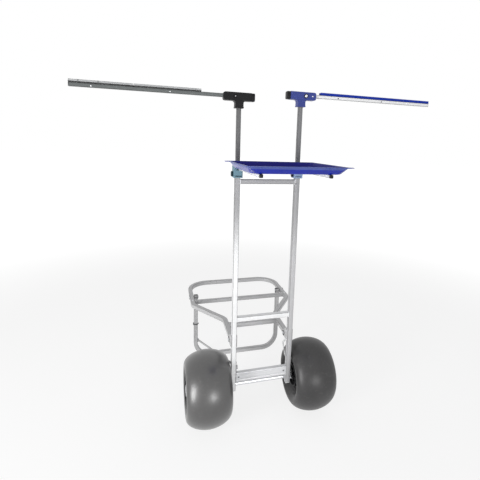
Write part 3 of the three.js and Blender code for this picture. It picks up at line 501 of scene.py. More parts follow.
def bent_run(corners, radii, steps=10):
    """A polyline of straight runs with its inner corners rounded to the given radii."""
    points = [corners[0]]
    for before, corner, after, radius in zip(corners, corners[1:], corners[2:], radii):
        arriving = (corner - before).normalized()
        leaving = (after - corner).normalized()
        turn = arriving.angle(leaving)
        inward = (leaving - arriving).normalized()
        along = (leaving + arriving).normalized()
        centre = corner + inward * radius / math.cos(turn / 2)
        count = max(4, round(steps * turn / QUARTER))
        for step in range(count + 1):
            angle = turn * (step / count - 0.5)
            points.append(centre - inward * radius * math.cos(angle) + along * radius * math.sin(angle))
    points.append(corners[-1])
    return points


def spaced_loop(points, pitch):
    """Points at an even pitch round a closed loop."""
    spaced = []
    for start, end in zip(points, points[1:] + points[:1]):
        count = max(1, round((end - start).length / pitch))
        spaced.extend(start.lerp(end, i / count) for i in range(count))
    return spaced


def stations_along(run, up):
    """Each point of a run with the two axes of its cross-section."""
    stations = []
    for i, point in enumerate(run):
        ahead = (run[min(i + 1, len(run) - 1)] - run[max(i - 1, 0)]).normalized()
        across = ahead.cross(up).normalized()
        stations.append((point, ahead, across, across.cross(ahead)))
    return stations


def ring_at(station, outline, shift=0.0):
    point, ahead, across, top = station
    return [point + ahead * shift + across * u + top * v for u, v in outline]


# How high the thread's point stands, as a share of the hexagon head's height
HEX_POINT = 1.1


class Skin:
    """Gathers the faces of one piece. Its grain keeps the run along and round each tube."""

    def __init__(self):
        self.shape = bmesh.new()
        self.grain = self.shape.loops.layers.uv.new("grain")
        self.worn = self.shape.verts.layers.float.new("worn")

    def face(self, corners, grains):
        face = self.shape.faces.new(corners)
        for loop, grain in zip(face.loops, grains):
            loop[self.grain].uv = grain
        return face

    def loft(self, rings, wrap=False, wear_and_light_share=None):
        """Joins closed rings one after another, then wraps or caps the ends."""
        rows = [[self.shape.verts.new(point) for point in ring] for ring in rings]
        count = len(rings[0])
        if wear_and_light_share:
            for row in rows:
                for vertex, amount in zip(row, wear_and_light_share):
                    vertex[self.worn] = amount
        runs = [0.0]
        for before, after in zip(rings, rings[1:] + rings[:1]):
            runs.append(runs[-1] + (after[0] - before[0]).length)
        widest = max(rings, key=lambda ring: (ring[0] - ring[count // 2]).length)
        girths = [0.0]
        for before, after in zip(widest, widest[1:] + widest[:1]):
            girths.append(girths[-1] + (after - before).length)
        for i in range(len(rows) - 1 + wrap):
            first = rows[i]
            second = rows[(i + 1) % len(rows)]
            for j in range(count):
                k = (j + 1) % count
                self.face(
                    (first[j], first[k], second[k], second[j]),
                    ((runs[i], girths[j]), (runs[i], girths[j + 1]),
                     (runs[i + 1], girths[j + 1]), (runs[i + 1], girths[j])))
        if not wrap:
            for row in (rows[0], rows[-1]):
                self.face(row, [(v.co.x + v.co.y, v.co.z) for v in row])

    def tube(self, run, up, section, bore=None, ease=0.5 * MM, wear_and_light_share=None):
        """A bar along a run of points with eased ends, or a tube if it has a bore."""
        stations = stations_along(run, up)
        first, last = stations[0], stations[-1]
        rings = [ring_at(first, section(ease)), ring_at(first, section(0), ease)]
        rings += [ring_at(station, section(0)) for station in stations[1:-1]]
        rings += [ring_at(last, section(0), -ease), ring_at(last, section(ease))]
        if bore:
            rings += [ring_at(last, bore(-ease / 2)), ring_at(last, bore(0), -ease)]
            rings += [ring_at(station, bore(0)) for station in reversed(stations[1:-1])]
            rings += [ring_at(first, bore(0), ease), ring_at(first, bore(-ease / 2))]
        self.loft(rings, wrap=bool(bore), wear_and_light_share=wear_and_light_share)

    def turned(self, place, axis, sign, profile, count=32, wrap=False):
        """A form turned about an axis. Its profile lists (along, radius) pairs."""
        along, across, up = CROSSWISE[axis]
        rings = []
        for run, radius in profile:
            centre = place + along * sign * run
            rings.append([centre + across * u + up * v for u, v in circle_outline(radius, count)])
        self.loft(rings, wrap=wrap)

    def layered(self, place, levels, section, bore=None, wear_and_light_share=None):
        """Stands a section up on its place. Its levels list (height, inset) pairs."""
        rings = []
        for height, inset in levels:
            rings.append([place + X * u + Y * v + Z * height for u, v in section(inset)])
        if bore:
            for height, inset in (levels[-1], levels[0]):
                rings.append([place + X * u + Y * v + Z * height for u, v in bore(-inset / 2)])
        self.loft(rings, wrap=bool(bore), wear_and_light_share=wear_and_light_share)

    def stepped(self, place, ahead, length, section, levels):
        """A closed form from its place onwards. Its levels list (share of length, inset in mm)."""
        station = stations_along([place, place + ahead * length], Z)[0]
        rings = [ring_at(station, section(inset * MM), share * length) for share, inset in levels]
        self.loft(rings, wear_and_light_share=corner_wear_and_light())

    def plate(self, outline, place, across, up, depth, holes=()):
        """A flat plate of a drawn outline with holes, as thick as its depth."""
        normal = across.cross(up)
        loops = [[Vector((u, v, 0)) for u, v in loop] for loop in (outline, *holes)]
        flat = [point for loop in loops for point in loop]
        sheets = []
        for lift in (0.0, depth):
            sheets.append([
                self.shape.verts.new(place + across * p.x + up * p.y + normal * lift) for p in flat])
        for corners in tessellate_polygon(loops):
            grains = [(flat[i].x, flat[i].y) for i in corners]
            self.face([sheets[0][i] for i in corners], grains)
            self.face([sheets[1][i] for i in corners], grains)
        start = 0
        for loop in loops:
            count = len(loop)
            for i in range(count):
                a = start + i
                b = start + (i + 1) % count
                self.face(
                    (sheets[0][a], sheets[0][b], sheets[1][b], sheets[1][a]),
                    ((flat[a].x, 0), (flat[b].x, 0), (flat[b].x, depth), (flat[a].x, depth)))
            start += count

    def block(self, low, high, corner=0.8 * MM, ease=0.5 * MM):
        """A block between two corners, rounded along X and eased at its ends."""
        size = high - low
        middle = (low + high) / 2
        run = along_x(middle, low.x, high.x)
        self.tube(run, Z, square_section(size.y, size.z, corner), ease=ease, wear_and_light_share=corner_wear_and_light())

    def weld(self, loop, radius):
        """A rippled bead along a closed loop of points."""
        middle = sum(loop, Vector()) / len(loop)
        ripple = 0.14
        pace = 1.9
        rings = []
        for i, point in enumerate(loop):
            ahead = (loop[(i + 1) % len(loop)] - loop[i - 1]).normalized()
            out = point - middle
            out = (out - ahead * out.dot(ahead)).normalized()
            top = ahead.cross(out)
            swell = radius * (1 + ripple * math.sin(pace * i))
            rings.append([point + out * u + top * v for u, v in circle_outline(swell, 8)])
        self.loft(rings, wrap=True)

    def rivet(self, place, axis, sign, radius, height):
        """A domed rivet head standing off its place."""
        profile = [(-0.2 * height, radius), (0.25 * height, radius), (0.6 * height, 0.86 * radius),
                   (0.88 * height, 0.55 * radius), (height, 0.16 * radius)]
        self.turned(place, axis, sign, profile, 24)

    def hex_head(self, place, axis, sign, radius, height):
        """A hexagon head or nut on its washer."""
        washer = 0.25 * height
        self.turned(place, axis, sign, [(0, 1.12 * radius), (washer, 1.12 * radius)], 32)
        profile = [(washer, radius), (0.85 * height, radius), (height, 0.84 * radius)]
        self.turned(place, axis, sign, profile, 6)
        point = [(height, 0.42 * radius), (HEX_POINT * height, 0.34 * radius)]
        self.turned(place, axis, sign, point, 16)

    def mesh(self, name):
        bmesh.ops.recalc_face_normals(self.shape, faces=self.shape.faces)
        mesh = bpy.data.meshes.new(name)
        self.shape.to_mesh(mesh)
        self.shape.free()
        return mesh


def carved(skin, *cutters):
    """The mesh of a skin with other skins cut out of it."""
    link = bpy.context.scene.collection.objects.link
    body = bpy.data.objects.new("carving", skin.mesh("carving"))
    link(body)
    tools = []
    for cutter in cutters:
        tool = bpy.data.objects.new("cutter", cutter.mesh("cutter"))
        link(tool)
        tools.append(tool)
        cut = body.modifiers.new("cut", "BOOLEAN")
        cut.object = tool
        cut.operation = "DIFFERENCE"
        cut.solver = "EXACT"
    graph = bpy.context.evaluated_depsgraph_get()
    mesh = bpy.data.meshes.new_from_object(body.evaluated_get(graph))
    for spent in [body, *tools]:
        bpy.data.objects.remove(spent)
    return mesh


def settle(shape, name, body, slot, nodes=(), bevel=0.0, angle=32, finish=None):
    """Makes a finished piece of a skin or mesh, and lets it ride on its body.

    The finish is that of the record's slot, unless another is named."""
    mesh = shape.mesh(name) if isinstance(shape, Skin) else shape
    mesh.name = name
    mesh.materials.clear()
    mesh.materials.append(finish_of(finish or slot))
    mesh.polygons.foreach_set("use_smooth", [True] * len(mesh.polygons))
    mesh.set_sharp_from_angle(angle=math.radians(angle))
    piece = bpy.data.objects.new(name, mesh)
    bpy.context.scene.collection.objects.link(piece)
    if bevel:
        edge = piece.modifiers.new("eased edges", "BEVEL")
        edge.width = bevel
        edge.segments = 2
        edge.limit_method = "ANGLE"
        edge.angle_limit = math.radians(angle)
    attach(piece, body)
    if nodes:
        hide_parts(*nodes)
    return piece


def turned_piece(
        name, body, slot, place, axis, sign, profile, count=32, nodes=(), wrap=False, **looks):
    """One turned form as a piece of its own."""
    skin = Skin()
    skin.turned(place, axis, sign, profile, count, wrap)
    settle(skin, name, body, slot, nodes, **looks)


def rivet_heads(name, body, slot, seats, radius, height):
    """Domed heads as one piece. Each seat is a place with the axis and sign of its head."""
    skin = Skin()
    for place, axis, sign in seats:
        skin.rivet(place, axis, sign, radius, height)
    settle(skin, name, body, slot)


def sizes():
    return bpy.context.scene.trolley_sizes


# Upright frame

def square_tube(run, up, width, height):
    """A skin that holds a square tube along a run."""
    skin = Skin()
    wall = sizes().tube_wall
    corner = sizes().tube_corner
    skin.tube(
        run, up, square_section(width, height, corner),
        square_section(width - 2 * wall, height - 2 * wall, corner / 2),
        sizes().edge_ease, corner_wear_and_light())
    return skin


def bar_welds(room, name, body, slot):
    """A bead round each end of a cross bar."""
    outline = rounded_outline(room.size.y, room.size.z, sizes().tube_corner, 3)
    beads = Skin()
    for end in room.bar():
        loop = [end + Y * u + Z * v for u, v in outline]
        beads.weld(spaced_loop(loop, 1.4 * MM), sizes().weld_radius)
    settle(beads, name, body, slot)


# The top bar is coloured with painted shade, the tray's shade on it
BAR_FINISHES = {"top_bar": "top_bar", "mid_bar": "frame_aluminium"}


class TROLLEY_OT_uprights(bpy.types.Operator):
    """Make the two uprights, their foot plugs and the bars between them"""

    bl_idname = "trolley.uprights"
    bl_label = "Uprights and bars"

    def execute(self, context):
        for side in SIDES:
            room = Space(f"upright_{side}")
            skin = square_tube(room.column(), Y, room.size.x, room.size.y)
            settle(skin, f"{side}_upright", "frame", "frame_aluminium", [f"upright_{side}"],
                   finish=f"{side}_upright")
            self.foot_plug(side)
        for bar in ("top_bar", "mid_bar"):
            room = Space(bar)
            skin = square_tube(room.bar(), Z, room.size.y, room.size.z)
            settle(skin, f"{bar}_tube", "frame", "frame_aluminium", [bar], finish=BAR_FINISHES[bar])
            bar_welds(room, f"{bar}_welds", "frame", "frame_aluminium")
        self.bar_screw()
        return {"FINISHED"}

    def foot_plug(self, side):
        room = Space(f"foot_plug_{side}")
        tube = Space(f"upright_{side}")
        skin = Skin()
        foot = tube.low.z - room.low.z
        base = room.foot
        levels = in_mm((0, 2.5), (0.4, 1.2), (1.2, 0.3)) + [(foot - 0.5 * MM, 0), (foot, 0.2 * MM)]
        skin.layered(base, levels, square_section(room.size.x, room.size.y, 2.4 * MM),
                     wear_and_light_share=corner_wear_and_light())
        spigot = square_section(room.size.x - 4 * MM, room.size.y - 4 * MM, 1 * MM)
        skin.layered(base + Z * foot, [(0, 0), (room.size.z - foot, 1 * MM)], spigot)
        settle(skin, f"{side}_foot_plug", "frame", "pale_plastic", [f"foot_plug_{side}"])

    def bar_screw(self):
        """A small dark screw through the right upright at the foot of the top bar"""
        bar = Space("top_bar")
        post = Space("upright_right")
        place = Vector((post.low.x + 3 * MM, post.low.y, bar.low.z + 1.5 * MM))
        below = place - Z * 5.5 * MM
        rivet_heads("top_bar_screw", "frame", "black_plastic", [(place, "Y", -1)], 2.4 * MM, 1.4 * MM)
        rivet_heads("top_bar_rivet", "frame", "steel", [(below, "Y", -1)], 1.8 * MM, 1 * MM)


# Axle

class TROLLEY_OT_axle(bpy.types.Operator):
    """Make the ribbed beam, the axle with its saddles, and its collars and clips"""

    bl_idname = "trolley.axle"
    bl_label = "Beam and axle"

    def execute(self, context):
        self.beam()
        self.axle()
        for side, sign in SIDES.items():
            self.collar(side, sign)
            self.clip(side)
        return {"FINISHED"}

    def beam_outline(self, room):
        """The beam's section: a flat face with fine grooves over a round lower bead"""
        depth = room.size.y / 2
        half = room.size.z / 2
        corner = 1.6 * MM
        face = depth - 0.9 * MM
        points = [(face - corner, half), (face - 0.3 * corner, half - 0.3 * corner),
                  (face, half - corner)]
        # The face's grooves: how far up each one lies, its width and its depth, in mm
        for up, width, cut in ((15, 1.6, 0.9), (8, 1, 0.5), (1, 1, 0.5), (-7, 2.4, 1.7)):
            back = face - cut * MM
            middle = up * MM
            floor = width * MM / 2
            mouth = floor + cut * MM / 2
            points += [(face, middle + mouth), (back, middle + floor), (back, middle - floor),
                       (face, middle - mouth)]
        bead = 5.2 * MM
        bulge = 1.6 * MM
        for out, up in arc(0, 0, 1, QUARTER, -math.pi, 12)[1:-1]:
            points.append((face + bulge * out, -half + 1.2 * MM + bead + bead * up))
        points += [(face - corner, -half), (-depth + corner, -half), (-depth, -half + corner)]
        back = -depth + 0.8 * MM
        for middle in (-8 * MM, 8 * MM):
            points += [(-depth, middle - 1.5 * MM), (back, middle - 1 * MM), (back, middle + 1 * MM),
                       (-depth, middle + 1.5 * MM)]
        points += [(-depth, half - corner), (-depth + corner, half)]
        return list(reversed(points))

    def beam(self):
        room = Space("axle_beam")
        skin = Skin()
        section = drawn_section(self.beam_outline(room))
        skin.tube(room.bar(), Z, section, ease=sizes().edge_ease)
        settle(skin, "deep_axle_beam", "frame", "grey_aluminium", ["axle_beam"], angle=20,
               finish="beam")
        bar_welds(room, "axle_beam_welds", "frame", "grey_aluminium")
        for side, sign in SIDES.items():
            place = Vector((
                room.edge(sign) - sign * 12 * MM, room.low.y + 0.9 * MM, room.middle.z + 2 * MM))
            turned_piece(f"{side}_beam_bush", "frame", "steel", place, "Y", -1,
                         in_mm((-1, 5), (0.4, 5), (1.2, 4.4), (1.2, 3), (-0.6, 2.6)))
            turned_piece(f"{side}_beam_bush_socket", "frame", "black_plastic", place, "Y", -1,
                         in_mm((-0.8, 2.7), (0.1, 2.6)), 24)

    def axle(self):
        room = Space("axle_tube")
        radius = room.size.z / 2
        centre = Vector((room.middle.x, room.high.y - radius, room.middle.z))
        run = along_x(centre, room.low.x, room.high.x)
        skin = Skin()
        wall = sizes().tube_wall
        skin.tube(run, Z, round_section(radius, 40), round_section(radius - wall, 40))
        for side in SIDES:
            post = Space(f"upright_{side}")
            skin.block(
                Vector((post.middle.x - 9 * MM, post.high.y + 0.1 * MM, room.low.z + 1 * MM)),
                Vector((post.middle.x + 9 * MM, centre.y, room.high.z - 1 * MM)), 1.5 * MM)
        settle(skin, "axle", "frame", "steel", ["axle_tube"])

    def collar(self, side, sign):
        room = Space(f"axle_collar_{side}")
        radius = room.size.z / 2
        half = room.size.x / 2
        profile = [
            (-half, 10.4 * MM), (-half, radius - 1.2 * MM), (-half + 1 * MM, radius),
            (-1 * MM, radius), (-0.6 * MM, radius - 0.7 * MM), (0.6 * MM, radius - 0.7 * MM),
            (1 * MM, radius), (half - 1 * MM, radius), (half, radius - 1.2 * MM), (half, 10.4 * MM)]
        turned_piece(f"{side}_axle_collar", "frame", "steel", room.middle, "X", sign, profile, 48,
                     [f"axle_collar_{side}"], wrap=True)

    def clip(self, side):
        room = Space(f"axle_clip_{side}")
        radius = room.size.z / 2
        half = room.size.x / 2
        skin = Skin()
        outline = circle_outline(radius, 48)
        hole = list(reversed(circle_outline(10.4 * MM, 48)))
        skin.plate(outline, room.middle - X * half, Y, Z, 2 * half, [hole])
        settle(skin, f"{side}_axle_clip", "frame", "steel", [f"axle_clip_{side}"], bevel=0.4 * MM)


# Wheels

# The hub's spokes and ribs, how far the spokes and the valve lie round it from Y,
# and how far out its dish lies
SPOKES = 5
SPOKE_TURN = 0.3
RIBS = 6
VALVE_TURN = 0.444 * ROUND
DISH = 77.5 * MM


class TROLLEY_OT_wheels(bpy.types.Operator):
    """Make the balloon tyres, their hubs and hub caps"""

    bl_idname = "trolley.wheels"
    bl_label = "Wheels"

    def execute(self, context):
        for side, sign in SIDES.items():
            tyre = Space(f"tyre_{side}")
            self.tyre(side, sign, tyre)
            self.hub(side, sign, tyre)
            self.hub_cap(side, sign)
        return {"FINISHED"}

    def tyre_profile(self, room):
        """The tyre's section, with fine mould grooves on both sidewalls"""
        outer = room.size.z / 2
        half_width = room.size.x / 2
        bore = sizes().tyre_bore
        bead = sizes().tyre_bead
        middle = (outer + bore) / 2
        half_height = (outer - bore) / 2
        power = 2 / sizes().tyre_roundness
        shoulder = 0.3 * math.pi
        # The mould grooves' angles, their spread in degrees, and their depth as a share
        grooves = (-44, -36, -20, 200, 216, 224)
        spread = 1.6
        deepest = 0.014
        steps = 150
        profile = [(-bead, bore), (-bead - 1.5 * MM, bore + 0.5 * MM)]
        for step in range(steps + 1):
            angle = -shoulder + (math.pi + 2 * shoulder) * step / steps
            cosine = math.cos(angle)
            sine = math.sin(angle)
            along = -half_width * math.copysign(abs(cosine) ** power, cosine)
            radius = half_height * math.copysign(abs(sine) ** power, sine)
            dip = sum(math.exp(-((math.degrees(angle) - groove) / spread) ** 2) for groove in grooves)
            inset = 1 - deepest * dip
            profile.append((along * inset, middle + radius * inset))
        profile += [(bead + 1.5 * MM, bore + 0.5 * MM), (bead, bore)]
        return profile

    def tyre(self, side, sign, room):
        profile = self.tyre_profile(room)
        turned_piece(f"{side}_tyre", f"wheel_{side}", "tyre", room.middle, "X", sign, profile, 144,
                     [f"tyre_{side}"], wrap=True, angle=60, finish=f"{side}_tyre")

    def hub(self, side, sign, tyre):
        centre = tyre.middle
        bore = 10.8 * MM
        drum = sizes().tyre_bore - 0.3 * MM
        bead = sizes().tyre_bead
        inner = 75 * MM
        rim = 66 * MM
        face = 88 * MM
        profile = [
            (-inner, bore), (-inner, 18 * MM), (-inner + 1.2 * MM, 19.4 * MM), (-60 * MM, 20.5 * MM),
            (-58 * MM, 24 * MM), (-58 * MM, 38 * MM), (-60 * MM, 41 * MM),
            (-inner + 1 * MM, 43 * MM), (-inner, 44 * MM), (-inner, 46.8 * MM),
            (-inner + 1.2 * MM, 48 * MM), (-bead, 48 * MM), (-bead, drum), (70 * MM, drum),
            (70 * MM, rim - 1 * MM), (71 * MM, rim), (face - 1.6 * MM, rim),
            (face - 0.5 * MM, rim - 0.5 * MM), (face, rim - 1.6 * MM), (face, 59 * MM),
            (face - 1.4 * MM, 57 * MM), (79 * MM, 52.5 * MM), (DISH, 50 * MM),
            (DISH, 35 * MM), (79 * MM, 33 * MM), (82 * MM, 32 * MM), (82 * MM, 24 * MM),
            (66 * MM, 24 * MM), (66 * MM, bore)]
        skin = Skin()
        skin.turned(centre, "X", sign, profile, 96, wrap=True)
        spoke = []
        low = 76
        for reach, half, high in ((32.5, 7.5, 81.5), (40, 6, 82.2), (50, 6.4, 84.5), (57, 8.5, 86.2)):
            spoke.append((reach, (
                (-half, low), (-0.82 * half, high - 0.6), (-0.6 * half, high), (0.6 * half, high),
                (0.82 * half, high - 0.6), (half, low))))
        for i in range(SPOKES):
            self.web(skin, centre, sign, ROUND * i / SPOKES + SPOKE_TURN, spoke)
        rib = [(reach, ((-1.4, 57), (-0.98, top), (0.98, top), (1.4, 57)))
               for reach, top in ((19.5, 72.5), (42.5, 73.5))]
        for i in range(RIBS):
            self.web(skin, centre, -sign, ROUND * i / RIBS, rib)
        settle(skin, f"{side}_hub", f"wheel_{side}", "black_plastic", [f"hub_{side}"], angle=28)
        bolts = Skin()
        for bolt in range(SPOKES):
            around = round_x(ROUND * (bolt + 0.5) / SPOKES + SPOKE_TURN)
            place = centre + X * sign * DISH + around * 43 * MM
            bolts.hex_head(place, "X", sign, 5 * MM, 4 * MM)
        settle(bolts, f"{side}_hub_bolts", f"wheel_{side}", "steel", bevel=0.2 * MM)
        foot = centre + X * sign * DISH + round_x(VALVE_TURN) * 47 * MM
        stem = in_mm((0, 4.4), (2, 4.2), (3, 3.2), (6, 3), (6.4, 3.4), (8.4, 3.4), (8.8, 3))
        turned_piece(f"{side}_valve", f"wheel_{side}", "black_plastic", foot, "X", sign, stem, 24)

    def web(self, skin, centre, sign, angle, sections):
        """A bar across the hub. Each section has its reach and its (beside, rise) corners, in mm"""
        around = round_x(angle)
        beside = X.cross(around)
        skin.loft([
            [centre + (around * reach + beside * aside + X * sign * rise) * MM
             for aside, rise in corners] for reach, corners in sections])

    def hub_cap(self, side, sign):
        room = Space(f"hub_cap_{side}")
        outer = room.size.z / 2
        base = room.at_x(room.edge(-sign))
        seat = 5 * MM
        profile = [
            (0, 20 * MM), (0.5 * MM, 23.6 * MM), (seat, 23.6 * MM), (seat, outer - 0.8 * MM),
            (seat + 0.7 * MM, outer), (seat + 1.4 * MM, outer - 0.3 * MM),
            (seat + 1.9 * MM, 27.5 * MM), (seat + 1.5 * MM, 26 * MM), (seat + 2.2 * MM, 24.6 * MM),
            (seat + 3.6 * MM, 20 * MM), (seat + 4.6 * MM, 13 * MM), (seat + 5 * MM, 6 * MM),
            (seat + 4.6 * MM, 4 * MM), (seat + 4.4 * MM, 1.4 * MM)]
        turned_piece(f"{side}_hub_cap", f"wheel_{side}", "steel", base, "X", sign, profile, 72,
                     [f"hub_cap_{side}"], angle=50)


# Collars and clamp knobs

COLLAR_SLOTS = {"left": "teal_plastic", "right": "steel_blue_plastic"}
KNOB_FINISHES = {"left": "dark_teal_plastic", "right": "black_plastic"}


class TROLLEY_OT_collars(bpy.types.Operator):
    """Make the moulded collars at the tops of the uprights and their clamp knobs"""

    bl_idname = "trolley.collars"
    bl_label = "Collars and knobs"

    def execute(self, context):
        for side, sign in SIDES.items():
            self.collar(side, sign)
            self.knob(side)
        return {"FINISHED"}

    def collar(self, side, sign):
        room = Space(f"collar_{side}")
        base = room.foot
        height = room.size.z
        groove = 1.4 * MM
        levels = in_mm((0, 1.8), (0.3, 1), (1, 0.7))
        for start in (7.5 * MM, height - 11 * MM):
            levels += [(start, 0.7 * MM), (start + 0.4 * MM, groove), (start + 1.6 * MM, groove),
                       (start + 2 * MM, 0.7 * MM)]
        levels += [(height - 1 * MM, 0.7 * MM), (height - 0.3 * MM, 1 * MM), (height, 1.8 * MM)]
        skin = Skin()
        skin.layered(
            base, levels, square_section(room.size.x - 4 * MM, room.size.y, 4 * MM),
            square_section(17 * MM, 17 * MM, 1.5 * MM), corner_wear_and_light())
        slots = Skin()
        fillers = Skin()
        for up, width, tall in ((height - 14 * MM, 18 * MM, 4 * MM), (6 * MM, 26 * MM, 2.6 * MM)):
            centre = base + Vector((-sign * 1.5 * MM, -room.size.y / 2, up))
            half = Vector((width / 2, 0, tall / 2))
            slots.block(centre - half - Y * MM, centre + half + Y * 1.6 * MM)
            fillers.block(centre - half + Y * MM, centre + half + Y * 1.8 * MM)
        mesh = carved(skin, slots)
        settle(mesh, f"{side}_collar", "frame", COLLAR_SLOTS[side], [f"collar_{side}"])
        settle(fillers, f"{side}_collar_clamp", "frame", "black_plastic")

    def knob(self, side):
        room = Space(f"collar_knob_{side}")
        radius = room.size.z / 2
        thickness = 6.5 * MM
        face = Space(f"collar_{side}").low.x + 2.7 * MM
        middle = room.at_x(face - thickness / 2 - 0.3 * MM)
        count = 72
        lobes = 6
        swell = 0.07
        rings = []
        levels = ((-0.5, 0.84), (-0.42, 0.94), (-0.3, 1), (0.3, 1), (0.42, 0.95), (0.5, 0.86))
        for share, scale in levels:
            ring = []
            for i in range(count):
                angle = ROUND * i / count
                lobe = radius * scale * (1 - swell + swell * math.cos(lobes * angle))
                ring.append(middle + X * share * thickness + round_x(angle) * lobe)
            rings.append(ring)
        skin = Skin()
        skin.loft(rings)
        skin.turned(middle, "X", -1, in_mm((0, 5.4), (3.8, 5.2), (4.1, 4.6)), 32)
        settle(skin, f"{side}_clamp_knob", f"clamp_knob_{side}", "black_plastic",
               [f"collar_knob_{side}"], finish=KNOB_FINISHES[side])
        shank = Skin()
        shank.turned(middle, "X", 1, [(0, 4 * MM), (room.high.x - middle.x, 3.8 * MM)], 24)
        shank.turned(middle, "X", -1, in_mm((3, 2.6), (4.4, 2.2)), 16)
        settle(shank, f"{side}_clamp_stud", f"clamp_knob_{side}", "steel")


# Handles

# The right handle's tube is a lit copy of the dark tube: painted light
HANDLE_FINISHES = {"left": "dark_aluminium", "right": "right_handle"}
TEE_RIVET_SLOTS = {"left": "black_plastic", "right": "steel"}
TEE_SLOTS = {"left": "black_plastic", "right": "navy_plastic"}
# The bright head's radius in each tee screw, as a share of the screw's
SCREW_BRIGHT = {"left": 0.3, "right": 0.6}
# The holes in the left face of each handle tube, down from its tee
HOLE_ROWS = 3
HOLE_START = 29 * MM
HOLE_PITCH = 94 * MM


class TROLLEY_OT_handles(bpy.types.Operator):
    """Make the telescoping tubes, the tees on them, their caps and clamp screws"""

    bl_idname = "trolley.handles"
    bl_label = "Handles and tees"

    def execute(self, context):
        for side, sign in SIDES.items():
            self.tube(side)
            self.tee(side, sign)
            self.cap(side, sign)
            self.screw(side)
        return {"FINISHED"}

    def tube(self, side):
        room = Space(f"handle_tube_{side}")
        skin = square_tube(room.column(), Y, room.size.x, room.size.y)
        tee = Space(f"tee_{side}")
        holes = Skin()
        for row in range(HOLE_ROWS):
            drop = HOLE_START + row * HOLE_PITCH
            place = Vector((room.low.x, room.middle.y, tee.low.z - drop))
            holes.turned(place, "X", 1, in_mm((-3, 2.6), (3, 2.6)), 24)
        mesh = carved(skin, holes)
        settle(mesh, f"{side}_handle_tube", f"handle_{side}", "dark_aluminium",
               [f"handle_tube_{side}"], finish=HANDLE_FINISHES[side])

    def tee_outline(self, room, centre, sign):
        """The tee seen from the user's side: a bar with its stem under it"""
        outer = abs(room.edge(sign) - centre)
        inner = abs(room.edge(-sign) - centre)
        height = room.size.z
        bar = 29 * MM
        stem = 15 * MM
        fillet = 9 * MM
        end = 7 * MM
        points = [(-inner, 0), (-inner, -bar)]
        points += arc(-stem - fillet, -bar - fillet, fillet, QUARTER, -QUARTER)
        flare = stem + 1 * MM
        points += [(-stem, -height + 6 * MM), (-flare, -height + 5 * MM), (-flare, -height),
                   (flare, -height), (flare, -height + 5 * MM), (stem, -height + 6 * MM)]
        points += arc(stem + fillet, -bar - fillet, fillet, math.pi, -QUARTER)
        points += arc(outer - end, -bar + end, end, -QUARTER, QUARTER)
        points += arc(outer - end, -end, end, 0, QUARTER)
        return [(sign * across, up) for across, up in points]

    def tee(self, side, sign):
        room = Space(f"tee_{side}")
        tube = Space(f"handle_tube_{side}")
        outline = self.tee_outline(room, tube.middle.x, sign)
        body = f"handle_{side}"
        skin = Skin()
        place = Vector((tube.middle.x, room.middle.y + room.size.y / 2, room.high.z))
        skin.plate(outline, place, X, Z, room.size.y)
        settle(skin, f"{side}_tee", body, TEE_SLOTS[side], [f"tee_{side}"], bevel=2.4 * MM)
        seam = Skin()
        ridge = 0.35 * MM
        wider = [(across * 1.004, up + 0.1 * MM) for across, up in outline]
        place = Vector((tube.middle.x, room.middle.y + ridge, room.high.z))
        seam.plate(wider, place, X, Z, 2 * ridge)
        settle(seam, f"{side}_tee_seam", body, TEE_SLOTS[side])
        screw = Space(f"tee_screw_{side}")
        place = Vector((room.edge(sign) - sign * 14 * MM, room.low.y, screw.middle.z))
        rivet_heads(f"{side}_tee_rivet", body, TEE_RIVET_SLOTS[side], [(place, "Y", -1)],
                    2.6 * MM, 1.2 * MM)

    def cap(self, side, sign):
        room = Space(f"tee_cap_{side}")
        tee = Space(f"tee_{side}")
        width = 12.7 * MM
        start = room.at_x(tee.edge(-sign) - sign * 0.3 * MM)
        levels = ((0, 0.6), (0.05, 0), (0.28, 0), (0.3, 0.7), (0.38, 0.7), (0.4, 0), (0.78, 0),
                  (0.9, 0.5), (0.97, 1.6), (1, 3))
        skin = Skin()
        skin.stepped(start, -X * sign, width, square_section(room.size.y, room.size.z, 6 * MM), levels)
        settle(skin, f"{side}_tee_cap", f"handle_{side}", "black_plastic", [f"tee_cap_{side}"])

    def screw(self, side):
        room = Space(f"tee_screw_{side}")
        radius = room.size.x / 2
        back = Vector((room.middle.x, room.low.y + 4 * MM, room.middle.z))
        profile = [
            (0, radius * 0.96), (0.6 * MM, radius), (2.2 * MM, radius), (3.2 * MM, radius * 0.88),
            (3.8 * MM, radius * 0.6), (4 * MM, radius * 0.15)]
        bright = radius * SCREW_BRIGHT[side]
        skin = Skin()
        skin.turned(back, "Y", -1, profile, 48)
        well = Skin()
        well.turned(back, "Y", -1, [(2.4 * MM, bright + 0.5 * MM), (6 * MM, bright + 0.5 * MM)], 32)
        mesh = carved(skin, well)
        settle(mesh, f"{side}_tee_screw", f"arm_screw_{side}", "steel", [f"tee_screw_{side}"],
               finish="black_plastic")
        turned_piece(f"{side}_tee_screw_head", f"arm_screw_{side}", "steel", back, "Y", -1, [
            (2.3 * MM, bright), (3.4 * MM, bright), (3.9 * MM, 0.8 * bright), (3.9 * MM, 0.5 * bright),
            (2.9 * MM, 0.44 * bright)])


# Rod arms

ARM_HEIGHT = 12.5 * MM
ARM_FINISHES = {"left": "left_arm", "right": "frame_aluminium"}
STRIP_SLOTS = {"left": "grey_rubber", "right": "blue_rubber"}
# Where the strips are split or banded and the rivets sit, along X from the trolley's middle
STRIP_SPLITS = {"left": (-489.8 * MM,), "right": ()}
# On the left the bed is black: a dark strip standing in for the shadow between strip and tube
BED_SLOTS = {"left": "black_rubber", "right": "blue_rubber"}
STRIP_BANDS = {"left": (-598 * MM, -657 * MM), "right": ()}
RIVET_PLACES = {"left": (-620 * MM, -372 * MM), "right": (264 * MM, 458 * MM)}
RIVET_SLOTS = {"left": "steel", "right": "black_plastic"}


